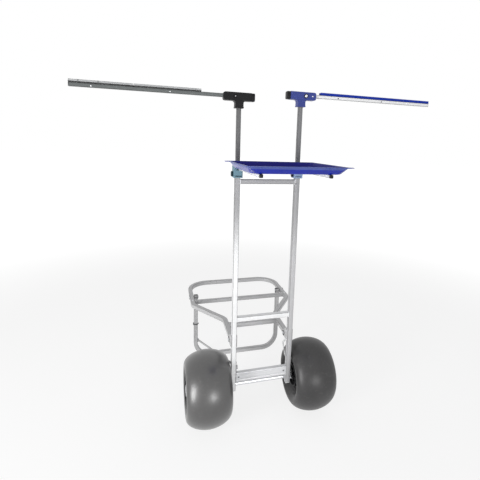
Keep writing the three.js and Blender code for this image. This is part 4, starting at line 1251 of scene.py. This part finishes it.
class TROLLEY_OT_rod_arms(bpy.types.Operator):
    """Make the two rod arms with their rest strips and end caps"""

    bl_idname = "trolley.rod_arms"
    bl_label = "Rod arms"

    def execute(self, context):
        for side, sign in SIDES.items():
            room = Space(f"arm_tube_{side}")
            tip = self.tip(side, sign) - sign * 1.6 * MM
            ends = room.bar()
            ends[sign > 0].x = tip
            for end in ends:
                end.z = room.high.z - ARM_HEIGHT / 2
            skin = square_tube(ends, Z, room.size.y, ARM_HEIGHT)
            settle(skin, f"{side}_arm_tube", f"arm_{side}", "grey_aluminium", [f"arm_tube_{side}"],
                   finish=ARM_FINISHES[side])
            self.strip(side, sign)
            self.end_cap(side, sign)
            self.rivets(side)
        return {"FINISHED"}

    def tip(self, side, sign):
        """Where the arm's end cap ends"""
        return Space(f"arm_end_cap_{side}").edge(sign)

    def strip_outline(self, room):
        """The strip's section: a flat foot, rounded shoulders and a shallow rod groove"""
        half = room.size.y / 2
        low = -room.size.z / 2
        high = room.size.z / 2 - 0.4 * MM
        shoulder = 2.2 * MM
        groove_half = 4.6 * MM
        groove_depth = 3 * MM
        points = [(half - 0.5 * MM, low), (half, low + 0.6 * MM), (half, low + 2.4 * MM),
                  (half - 0.9 * MM, low + 3 * MM), (half - 0.9 * MM, low + 3.8 * MM),
                  (half, low + 4.4 * MM)]
        points += arc(half - shoulder, high - shoulder, shoulder, 0, QUARTER, 5)
        steps = 6
        for step in range(1, steps + 1):
            share = step / steps
            dip = groove_depth * math.sin(QUARTER * share) ** 2
            points.append((groove_half * (1 - share), high - dip))
        mirrored = [(-across, up) for across, up in reversed(points[:-1])]
        return points + mirrored

    def strip(self, side, sign):
        room = Space(f"rest_strip_{side}")
        section = drawn_section(self.strip_outline(room))
        ends = [room.low.x, room.high.x]
        ends[sign > 0] = self.tip(side, sign) - sign * 0.6 * MM
        for split in STRIP_SPLITS[side]:
            ends[1:1] = [split - 1.2 * MM, split + 1.2 * MM]
        skin = Skin()
        for start, end in zip(ends[::2], ends[1::2]):
            skin.tube(along_x(room.middle, start, end), Z, section, ease=0.8 * MM)
        slot = STRIP_SLOTS[side]
        settle(skin, f"{side}_rest_strip", f"arm_{side}", slot, [f"rest_strip_{side}"])
        # The bed under the strip; its black on the left is painted shadow
        bed = Skin()
        run = along_x(room.foot + Z * 1.5 * MM, ends[0], ends[-1])
        bed.tube(run, Z, square_section(room.size.y + 0.5 * MM, 2.9 * MM, 0.4 * MM), ease=0.3 * MM)
        settle(bed, f"{side}_strip_bed", f"arm_{side}", BED_SLOTS[side])
        if STRIP_BANDS[side]:
            bands = Skin()
            for band in STRIP_BANDS[side]:
                run = along_x(room.middle, band - 1.4 * MM, band + 1.4 * MM)
                wider = drawn_section([(u * 1.03, v * 1.03) for u, v in self.strip_outline(room)])
                bands.tube(run, Z, wider, ease=0.3 * MM)
            settle(bands, f"{side}_strip_bands", f"arm_{side}", "grey_rubber", finish="left_arm")

    def end_cap(self, side, sign):
        room = Space(f"arm_end_cap_{side}")
        width = 1.6 * MM
        outer = self.tip(side, sign)
        top = Space(f"arm_tube_{side}").high.z
        start = Vector((outer - sign * width, room.middle.y, top - ARM_HEIGHT / 2))
        levels = ((-3, 1.7), (0, 1.6), (0, 0.3), (0.15, 0.1), (0.5, 0.1), (0.8, 0.5), (0.95, 1.3),
                  (1, 2.4))
        skin = Skin()
        skin.stepped(start, X * sign, width, square_section(room.size.y, ARM_HEIGHT, 2.2 * MM), levels)
        settle(skin, f"{side}_arm_end_cap", f"arm_{side}", "black_plastic", [f"arm_end_cap_{side}"])

    def rivets(self, side):
        """Rivets along the user's side of the arm's tube"""
        room = Space(f"arm_tube_{side}")
        seats = [(Vector((x, room.low.y, room.high.z - 0.6 * ARM_HEIGHT)), "Y", -1)
                 for x in RIVET_PLACES[side]]
        rivet_heads(f"{side}_arm_rivets", f"arm_{side}", RIVET_SLOTS[side], seats, 2.2 * MM, 1 * MM)


# Bait tray

class TROLLEY_OT_tray(bpy.types.Operator):
    """Make the bait tray, the two arms that carry it and their end caps"""

    bl_idname = "trolley.tray"
    bl_label = "Bait tray"

    def execute(self, context):
        self.tray()
        for side in SIDES:
            self.arm(side)
        return {"FINISHED"}

    def tray(self):
        room = Space("tray")
        lip = sizes().tray_lip
        taper = sizes().tray_taper
        wall = sizes().tray_wall
        corner = sizes().tray_corner
        depth = room.size.z
        tab = 12 * MM
        tab_half = 7 * MM
        steps = 12
        width = room.size.x - 2 * tab
        length = room.size.y
        base = room.foot

        def ring(height, inset, radius=None):
            outline = rounded_outline(
                width - 2 * inset, length - 2 * inset, radius or max(corner - inset, 3 * MM), steps)
            return [base + Vector((u, v, height)) for u, v in outline]

        def wall_ring(height, extra):
            share = 1 - height / depth
            radius = max(corner + (sizes().tray_foot_corner - corner) * share - extra, 3 * MM)
            return ring(height, lip + taper * share + extra, radius)

        lip_height = 3 * MM
        brim = depth - lip_height
        floor = 2.5 * MM
        rings = [
            wall_ring(0, 22 * MM), wall_ring(0, 20 * MM), wall_ring(0, 3 * MM),
            wall_ring(0.35 * MM, 1.4 * MM), wall_ring(1.6 * MM, 0.2 * MM), wall_ring(3.5 * MM, 0),
            wall_ring(9 * MM, 0), wall_ring(15 * MM, 0), wall_ring(brim - 1 * MM, 0),
            ring(brim, lip - 0.8 * MM), ring(brim, 0.7 * MM),
            ring(brim + 0.6 * MM, 0.1 * MM), ring(depth - 1 * MM, 0),
            ring(depth - 0.2 * MM, 0.5 * MM), ring(depth, 1.4 * MM),
            ring(depth, lip + wall - 1.2 * MM), ring(depth - 0.3 * MM, lip + wall - 0.4 * MM),
            wall_ring(depth - 1.2 * MM, wall), wall_ring(15 * MM, wall), wall_ring(9 * MM, wall),
            wall_ring(5 * MM, wall), wall_ring(3.3 * MM, wall + 0.6 * MM),
            wall_ring(floor, wall + 2.5 * MM), wall_ring(floor, 24 * MM),
            wall_ring(floor, 26 * MM)]
        skin = Skin()
        # Painted highlight on the tray's corners, narrowed by the power
        skin.loft(rings, wear_and_light_share=[rubbed_and_sheen ** 8 for rubbed_and_sheen in corner_wear_and_light(steps)])
        count = len(rings[0])
        # The faces between these rings make the rim, painted lighter as a highlight, and those after
        # them the inside, painted darker as shade
        rim_start, rim_end = 7, 17
        rim = range(rim_start * count, rim_end * count)
        walls = (len(rings) - 1) * count
        inside = [*range(rim_end * count, walls), walls + 1]
        top = base.z + depth
        for sign in SIDES.values():
            start = base.x + sign * (width / 2 - 3 * MM)
            end = base.x + sign * (width / 2 + tab)
            middle_y = base.y - sign * (length / 2 - corner - tab_half)
            skin.block(
                Vector((min(start, end), middle_y - tab_half, top - lip_height)),
                Vector((max(start, end), middle_y + tab_half, top)), 1.4 * MM, 1.2 * MM)
        for share in (-0.3, 0, 0.3):
            x = base.x + share * width
            skin.block(
                Vector((x - 2 * MM, room.low.y + 40 * MM, base.z - 0.01 * MM)),
                Vector((x + 2 * MM, room.high.y - 40 * MM, base.z + 1 * MM)), 0.4 * MM, 0.3 * MM)
        tray = settle(skin, "bait_tray_moulding", "bait_tray", "blue_plastic", ["tray"], angle=40)
        for part, (finish, faces) in enumerate((("tray_inside", inside), ("tray_rim", rim)), 1):
            tray.data.materials.append(finish_of(finish))
            for face in faces:
                tray.data.polygons[face].material_index = part

    def arm(self, side):
        arm = Space(f"tray_arm_{side}")
        cap = Space(f"tray_arm_cap_{side}")
        run = [Vector((arm.middle.x, y, arm.middle.z)) for y in (arm.high.y, cap.high.y - 1 * MM)]
        skin = square_tube(run, Z, arm.size.x, arm.size.z)
        settle(skin, f"{side}_tray_arm", "frame", "frame_aluminium", [f"tray_arm_{side}"])
        start = Vector((cap.middle.x, cap.low.y, cap.middle.z))
        levels = ((0, 1.8), (0.04, 0.8), (0.14, 0), (0.86, 0), (0.96, 0.2), (1, 0.5))
        tip = Skin()
        tip.stepped(start, Y, cap.size.y, square_section(cap.size.x, cap.size.z, 2 * MM), levels)
        settle(tip, f"{side}_tray_arm_cap", "frame", "black_plastic", [f"tray_arm_cap_{side}"])


# Cradle

class TROLLEY_OT_cradle(bpy.types.Operator):
    """Make the cradle's bent tube, its two cross members, brackets and bolts"""

    bl_idname = "trolley.cradle"
    bl_label = "Cradle"

    def execute(self, context):
        self.ring()
        self.cross_tube()
        self.second_bar()
        for side in SIDES:
            self.bracket(side)
            self.bolt(side, "pivot_bolt", "frame")
            self.bolt(side, "leg_bolt", "cradle")
        return {"FINISHED"}

    def ring(self):
        room = Space("cradle_ring")
        side = room.size.z
        wide = room.size.x / 2 - side / 2
        narrow = (Space("upright_right").middle.x - Space("upright_left").middle.x) / 2
        near = room.low.y
        spread_start = near + sizes().rail_spread_start
        spread_end = near + sizes().rail_spread_end
        far = room.high.y - side / 2
        right = [(narrow, near), (narrow, spread_start), (wide, spread_end), (wide, far)]
        places = right + [(-x, y) for x, y in reversed(right)]
        corners = [Vector((room.middle.x + x, y, room.middle.z)) for x, y in places]
        bend = sizes().rail_bend
        radii = [bend, bend, sizes().cradle_bend, sizes().cradle_bend, bend, bend]
        skin = square_tube(bent_run(corners, radii, 14), Z, side, side)
        settle(skin, "cradle_bent_tube", "cradle", "grey_aluminium", ["cradle_ring"])
        plugs = Skin()
        section = square_section(side, side, sizes().tube_corner)
        levels = ((-0.08, 3), (-0.07, 1.6), (-0.04, 0.4), (0, 0.2), (0, 1.7), (0.5, 1.9))
        for sign in SIDES.values():
            start = Vector((room.middle.x + sign * narrow, near, room.middle.z))
            plugs.stepped(start, Y, side, section, levels)
        settle(plugs, "cradle_end_plugs", "cradle", "black_plastic")

    def cross_tube(self):
        room = Space("cradle_cross_tube")
        skin = square_tube(room.bar(), Z, room.size.y, room.size.z)
        settle(skin, "cradle_low_cross_tube", "cradle", "grey_aluminium", ["cradle_cross_tube"])
        bar_welds(room, "cradle_cross_welds", "cradle", "grey_aluminium")

    def second_bar(self):
        room = Space("cradle_second_bar")
        side = 18 * MM
        skin = square_tube(room.bar(), Z, side, side)
        settle(skin, "cradle_second_tube", "cradle", "grey_aluminium", ["cradle_second_bar"])
        ends = Skin()
        for sign in SIDES.values():
            start = room.middle + X * sign * (room.size.x / 2 - 5 * MM)
            station = stations_along([start, start + X * sign], Z)[0]
            outer = square_section(room.size.y, room.size.z, 2.4 * MM)
            inner = square_section(side, side, 2 * MM)
            rings = [ring_at(station, outer(0.5 * MM)), ring_at(station, outer(0), 0.5 * MM),
                     ring_at(station, outer(0), 4.5 * MM), ring_at(station, outer(0.4 * MM), 4.9 * MM),
                     ring_at(station, inner(-0.1 * MM), 4.9 * MM), ring_at(station, inner(-0.1 * MM))]
            ends.loft(rings, wrap=True)
        settle(ends, "second_tube_collars", "cradle", "grey_aluminium")
        rail = Space("cradle_ring")
        seats = []
        for sign in SIDES.values():
            top = Vector((rail.edge(sign) - sign * 10 * MM, room.middle.y, rail.high.z - 0.2 * MM))
            seats.append((top, "Z", 1))
        rivet_heads("second_tube_screws", "cradle", "steel", seats, 4.4 * MM, 1.8 * MM)

    def cheek_outline(self, low, high, nose, pivot):
        """A bracket's cheek seen from the side, as (forward, up) from the pivot"""
        points = [(low.y - pivot.y, low.z - pivot.z), (-30 * MM, low.z - pivot.z)]
        points += arc(0, 0, nose, -QUARTER, 1.5 * QUARTER, 12)
        points += [(-24 * MM, high.z - pivot.z), (low.y - pivot.y, high.z - pivot.z)]
        return points

    def bracket(self, side):
        room = Space(f"cradle_bracket_{side}")
        post = Space(f"upright_{side}")
        bolt = Space(f"pivot_bolt_{side}")
        pivot = bolt.middle
        thickness = 2.2 * MM
        half = post.size.x / 2 + 0.3 * MM
        outline = self.cheek_outline(room.low, room.high, 12 * MM, pivot)
        hole = list(reversed(circle_outline(4.3 * MM, 24)))
        skin = Skin()
        for start in (-half - thickness, half):
            place = Vector((post.middle.x + start, pivot.y, pivot.z))
            skin.plate(outline, place, Y, Z, thickness, [hole])
        skin.block(
            Vector((post.middle.x - half - 1 * MM, post.high.y + 0.3 * MM, room.low.z + 1 * MM)),
            Vector((post.middle.x + half + 1 * MM, post.high.y + 2.5 * MM, room.high.z - 1 * MM)),
            0.4 * MM, 0.2 * MM)
        settle(skin, f"{side}_cradle_bracket", "frame", "grey_aluminium",
               [f"cradle_bracket_{side}"], bevel=0.5 * MM)
        seats = []
        for up in (10 * MM, room.size.z - 10 * MM):
            for way in (-1, 1):
                face = post.middle.x + way * (half + thickness)
                seats.append((Vector((face, post.middle.y, room.low.z + up)), "X", way))
        rivet_heads(f"{side}_bracket_rivets", "frame", "steel", seats, 4.5 * MM, 1.8 * MM)

    def bolt(self, side, kind, body):
        """A bolt with its head at one end, its nut at the other and a washer under each"""
        room = Space(f"{kind}_{side}")
        head = 7 * MM
        thickness = 4 * MM
        ring = [(0, 1.2 * head), (0, 1.6 * head), (0.7 * MM, 1.6 * head), (1 * MM, 1.5 * head),
                (1 * MM, 1.2 * head)]
        skin = Skin()
        washers = Skin()
        run = []
        for way in (-1, 1):
            place = room.at_x(room.edge(way) - way * thickness)
            skin.hex_head(place, "X", way, 0.98 * head, thickness / HEX_POINT)
            washers.turned(place, "X", way, ring, 32, wrap=True)
            run.append(place)
        skin.tube(run, Z, round_section(4 * MM, 20))
        settle(skin, f"{side}_{kind}_set", body, "steel", [f"{kind}_{side}"], bevel=0.2 * MM)
        settle(washers, f"{side}_{kind}_washers", body, "black_rubber")


# Leg frame and stay

class TROLLEY_OT_legs(bpy.types.Operator):
    """Make the leg frame, its spring clip, and the stay with its lug"""

    bl_idname = "trolley.legs"
    bl_label = "Legs and stay"

    def execute(self, context):
        self.frame()
        self.clip()
        self.stay()
        self.lug()
        return {"FINISHED"}

    def frame(self):
        room = Space("leg_frame")
        side = room.size.y
        half = room.size.x / 2 - side / 2
        low = room.low.z + side / 2
        places = [(-half, room.high.z), (-half, low), (half, low), (half, room.high.z)]
        corners = [Vector((room.middle.x + x, room.middle.y, z)) for x, z in places]
        bend = sizes().leg_bend
        skin = square_tube(bent_run(corners, [bend, bend], 18), Y, side, side)
        settle(skin, "leg_bent_tube", "leg", "grey_aluminium", ["leg_frame"])
        tops = Skin()
        levels = in_mm((-9, 1.9), (-1.4, 1.7), (-1, 2), (-0.9, 3))
        for sign in SIDES.values():
            place = Vector((room.middle.x + sign * half, room.middle.y, room.high.z))
            tops.layered(place, levels, square_section(side, side, sizes().tube_corner),
                         wear_and_light_share=corner_wear_and_light())
        settle(tops, "leg_top_plugs", "leg", "black_plastic")
        stay = Space("stay")
        start = room.middle.x - half + side / 2 - 0.6 * MM
        place = Vector((start, room.middle.y, stay.low.z + sizes().stay_eye))
        turned_piece("stay_stud", "leg", "steel", place, "X", 1, in_mm(
            (0, 6.4), (0.5, 6), (0.6, 4), (6.4, 4), (6.4, 6), (8.6, 6), (9.2, 5), (9.2, 2.4), (8.4, 2)))
        hole = Vector((room.middle.x + half, room.low.y, room.high.z - 43 * MM))
        turned_piece("leg_hole_grommet", "leg", "black_plastic", hole, "Y", -1,
                     in_mm((-2, 3), (0.15, 3.2), (0.3, 2.6)), 24)

    def clip(self):
        room = Space("leg_clip")
        leg = Space("leg_frame")
        radius = leg.size.y / 2
        axis_x = leg.low.x + radius
        skin = Skin()
        pin = along_x(room.middle, room.low.x + 2 * MM, room.high.x)
        skin.tube(pin, Z, round_section(3 * MM, 20), ease=0.8 * MM)
        skin.block(
            room.low, Vector((room.low.x + 4 * MM, room.high.y, room.high.z)), 2.4 * MM, 0.8 * MM)
        section = square_section(leg.size.y, leg.size.y, sizes().tube_corner)
        rings = []
        for height, inset in ((-3.6, -1), (-3, -1.4), (3, -1.4), (3.6, -1), (3.6, -0.1), (-3.6, -0.1)):
            centre = Vector((axis_x, room.middle.y, room.middle.z + height * MM))
            rings.append([centre + X * u + Y * v for u, v in section(inset * MM)])
        skin.loft(rings, wrap=True)
        settle(skin, "spring_clip", "leg", "black_plastic", ["leg_clip"], finish="dark_aluminium")

    def stay(self):
        room = Space("stay")
        eye = sizes().stay_eye
        thickness = 5 * MM
        front = Vector((room.low.x + thickness / 2, room.high.y - eye, room.low.z + eye))
        rear = Vector((room.high.x - thickness / 2, room.low.y + eye, room.high.z - eye))
        run = (rear - front).normalized()
        up = X.cross(run).normalized()
        if up.z < 0:
            up = -up
        skin = Skin()
        start = front + run * (eye - 2 * MM)
        end = rear - run * (eye - 2 * MM)
        skin.tube([start, end], up, square_section(thickness, 10 * MM, 1.6 * MM),
                  ease=0.4 * MM, wear_and_light_share=corner_wear_and_light())
        for place, hole in ((front, 4.3 * MM), (rear, 2 * MM)):
            profile = [
                (-thickness / 2, hole), (-thickness / 2, eye - 0.8 * MM),
                (-thickness / 2 + 0.6 * MM, eye), (thickness / 2 - 0.6 * MM, eye),
                (thickness / 2, eye - 0.8 * MM), (thickness / 2, hole)]
            skin.turned(place, "X", 1, profile, 40, wrap=True)
        settle(skin, "stay_bar", "side_stay", "grey_aluminium", ["stay"])
        turned_piece("stay_pin", "side_stay", "steel", rear, "X", -1, in_mm(
            (-3.6, 3), (-3.4, 4.6), (-2.4, 5), (-2.4, 4), (6.2, 4), (6.4, 3.4)))

    def lug(self):
        room = Space("stay_lug")
        skin = Skin()
        outline = rounded_outline(room.size.y, room.size.z, 6 * MM, 6)
        pin_y = Space("stay").low.y + sizes().stay_eye - room.middle.y
        pin_z = Space("stay").high.z - sizes().stay_eye - room.middle.z
        hole = [(pin_y + u, pin_z + v) for u, v in reversed(circle_outline(2.2 * MM, 20))]
        skin.plate(outline, room.at_x(room.low.x), Y, Z, room.size.x, [hole])
        settle(skin, "upright_stay_lug", "frame", "grey_aluminium", ["stay_lug"], bevel=0.4 * MM)


# Buffers and strap hooks

class TROLLEY_OT_buffers(bpy.types.Operator):
    """Make the rubber buffers on the uprights and the strap hooks beside them"""

    bl_idname = "trolley.buffers"
    bl_label = "Buffers and hooks"

    def execute(self, context):
        for side, sign in SIDES.items():
            self.buffer(side)
            self.hook(side, sign)
        return {"FINISHED"}

    def buffer(self, side):
        room = Space(f"buffer_{side}")
        base = room.foot
        levels = in_mm((0, 1.4), (0.4, 0.6), (1.2, 0.1))
        count = 8
        pitch = (room.size.z - 6 * MM) / count
        for rib in range(count):
            for share, inset in ((0, 0), (0.6, 0), (0.72, 1.1), (0.88, 1.1)):
                levels.append((3 * MM + (rib + share) * pitch, inset * MM))
        levels += [(room.size.z - 3 * MM, 0), (room.size.z - 1.2 * MM, 0.1 * MM),
                   (room.size.z, 1.4 * MM)]
        skin = Skin()
        skin.layered(base, levels, square_section(room.size.x, room.size.y, 2.4 * MM),
                     wear_and_light_share=corner_wear_and_light())
        settle(skin, f"{side}_buffer", "frame", "black_rubber", [f"buffer_{side}"], angle=50)

    def hook(self, side, sign):
        room = Space(f"keeper_hook_{side}")
        middle_z = room.middle.z
        front = room.high.y
        post = Space(f"upright_{side}")
        strap = 7 * MM
        corners = [
            Vector((room.middle.x, room.low.y + strap / 2, room.low.z + strap / 2)),
            Vector((room.middle.x, post.high.y - strap / 4, room.low.z + strap / 2)),
            Vector((room.middle.x, front - strap * 0.8, middle_z)),
            Vector((room.middle.x, post.high.y - strap / 4, room.high.z - strap / 2)),
            Vector((room.middle.x, room.low.y + strap / 2, room.high.z - strap / 2))]
        run = bent_run(corners, [10 * MM, 8 * MM, 10 * MM], 10)
        skin = Skin()
        section = square_section(strap, room.size.x, 1.2 * MM)
        skin.tube(run, X, section, ease=0.8 * MM, wear_and_light_share=corner_wear_and_light())
        settle(skin, f"{side}_strap_hook", "frame", "grey_aluminium", [f"keeper_hook_{side}"],
               finish="frame_aluminium")
        tip = Skin()
        near = [point for point in run if point.y > post.high.y + 16 * MM]
        tip.tube(near, X, square_section(strap + 2 * MM, room.size.x + 1.6 * MM, 2 * MM), ease=1 * MM)
        settle(tip, f"{side}_hook_sleeve", "frame", "pale_plastic")
        seats = [(Vector((room.edge(-sign), room.low.y + strap, z)), "X", -sign)
                 for z in (room.low.z + strap / 2, room.high.z - strap / 2)]
        rivet_heads(f"{side}_hook_rivets", "frame", "steel", seats, 2.6 * MM, 1.2 * MM)


# Stage

class TROLLEY_OT_stage(bpy.types.Operator):
    """Make the pale floor, the soft lights and the camera"""

    bl_idname = "trolley.stage"
    bl_label = "Floor, lights and camera"

    def execute(self, context):
        self.floor()
        self.world(context.scene)
        self.lamps()
        self.camera(context.scene)
        context.scene.view_settings.view_transform = "Standard"
        return {"FINISHED"}

    def seen(self, coat):
        """One where a camera, mirror or glass ray looks, nought for the rest"""
        path = coat.node("ShaderNodeLightPath")
        rays = [Field(coat, path.outputs[name])
                for name in ("Is Camera Ray", "Is Glossy Ray", "Is Transmission Ray")]
        return coat.step(rays[0] + rays[1] + rays[2], 0.0, 1.0)

    def floor(self):
        material, coat = new_coat("white_floor")
        place = coat.place()
        far = Field(coat, coat.node("ShaderNodeVectorMath", {"operation": "LENGTH"},
                                    {0: place}).outputs["Value"])
        cloud = coat.noise(place, 3, 3.0)
        tone = coat.tint(cloud, (0.86, 0.86, 0.86, 1.0), (0.9, 0.9, 0.9, 1.0))
        matt = coat.node("ShaderNodeBsdfDiffuse", None, {"Color": tone})
        glow = coat.node("ShaderNodeEmission", None, {"Strength": 1.1})
        near_share = 0.72
        glowing = self.seen(coat) * (near_share + (1 - near_share) * coat.step(far, 1.5, 4.0))
        mixed = coat.between(glowing, matt, glow)
        coat.node("ShaderNodeOutputMaterial", None, {"Surface": mixed})
        shape = bmesh.new()
        bmesh.ops.create_circle(shape, cap_ends=True, radius=30, segments=96)
        mesh = bpy.data.meshes.new("floor")
        shape.to_mesh(mesh)
        shape.free()
        mesh.materials.append(material)
        floor = bpy.data.objects.new("floor", mesh)
        bpy.context.scene.collection.objects.link(floor)

    def world(self, scene):
        world = bpy.data.worlds.new("white_room")
        scene.world = world
        world.use_nodes = True
        coat = Coat(world.node_tree)
        pure = (1, 1, 1, 1)
        soft = coat.node("ShaderNodeBackground", None, {"Color": pure, "Strength": 0.38})
        white = coat.node("ShaderNodeBackground", None, {"Color": pure, "Strength": 1.0})
        mixed = coat.between(self.seen(coat), soft, white)
        coat.node("ShaderNodeOutputWorld", None, {"Surface": mixed})

    def lamps(self):
        target = Vector((0, -0.1, 0.6))
        # Each lamp: its name, its place, its width and height, and its power
        lamps = (
            ("front_softbox", (0.5, -3.6, 0.6), 1.0, 1.0, 29),
            ("left_softbox", (-2.3, -1.5, 0.65), 0.8, 1.5, 46),
            ("top_softbox", (0.6, -0.6, 3.2), 2.0, 2.0, 3))
        for name, place, width, height, power in lamps:
            lamp = bpy.data.lights.new(name, "AREA")
            lamp.energy = power
            lamp.shape = "RECTANGLE"
            lamp.size = width
            lamp.size_y = height
            holder = bpy.data.objects.new(name, lamp)
            holder.location = place
            aim = target - Vector(place)
            holder.rotation_euler = aim.to_track_quat("-Z", "Y").to_euler()
            bpy.context.scene.collection.objects.link(holder)

    def camera(self, scene):
        """Looks at the trolley as the photograph does, from the left and a little above"""
        place = Vector((-0.4127, -1.5293, 1.1539))
        yaw = math.radians(16.745)
        pitch = math.radians(9.665)
        roll = math.radians(-2.035)
        forward = Vector((
            math.sin(yaw) * math.cos(pitch), math.cos(yaw) * math.cos(pitch), -math.sin(pitch)))
        right = Vector((math.cos(yaw), -math.sin(yaw), 0))
        down = forward.cross(right)
        right, down = (
            right * math.cos(roll) + down * math.sin(roll),
            down * math.cos(roll) - right * math.sin(roll))
        lens = bpy.data.cameras.new("view")
        lens.sensor_width = 36
        lens.lens = 27.35
        lens.shift_x = -0.0573
        lens.shift_y = -0.0697
        camera = bpy.data.objects.new("view", lens)
        up = -down
        back = -forward
        camera.matrix_world = Matrix((
            (right.x, up.x, back.x, place.x),
            (right.y, up.y, back.y, place.y),
            (right.z, up.z, back.z, place.z),
            (0, 0, 0, 1)))
        scene.collection.objects.link(camera)
        scene.camera = camera


OPERATORS = (
    TROLLEY_OT_uprights, TROLLEY_OT_axle, TROLLEY_OT_wheels, TROLLEY_OT_collars,
    TROLLEY_OT_handles, TROLLEY_OT_rod_arms, TROLLEY_OT_tray, TROLLEY_OT_cradle,
    TROLLEY_OT_legs, TROLLEY_OT_buffers, TROLLEY_OT_stage)


class TROLLEY_PT_panel(bpy.types.Panel):
    """Lists the sizes, the colours and the steps that make the trolley"""

    bl_idname = "TROLLEY_PT_panel"
    bl_label = "Fishing trolley"
    bl_space_type = "VIEW_3D"
    bl_region_type = "UI"
    bl_category = "Trolley"

    def draw(self, context):
        for group in (context.scene.trolley_sizes, context.scene.trolley_colours):
            column = self.layout.column(align=True)
            for name in type(group).__annotations__:
                column.prop(group, name)
        steps = self.layout.column()
        for operator in OPERATORS:
            steps.operator(operator.bl_idname)


CLASSES = (TrolleySizes, TrolleyColours, *OPERATORS, TROLLEY_PT_panel)


def register():
    for each in CLASSES:
        bpy.utils.register_class(each)
    bpy.types.Scene.trolley_sizes = bpy.props.PointerProperty(type=TrolleySizes)
    bpy.types.Scene.trolley_colours = bpy.props.PointerProperty(type=TrolleyColours)


def unregister():
    del bpy.types.Scene.trolley_sizes
    del bpy.types.Scene.trolley_colours
    for each in reversed(CLASSES):
        bpy.utils.unregister_class(each)


def main():
    """Makes every piece."""
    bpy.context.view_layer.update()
    register()
    for operator in OPERATORS:
        group, name = operator.bl_idname.split(".")
        getattr(getattr(bpy.ops, group), name)()


if __name__ == "__main__":
    main()
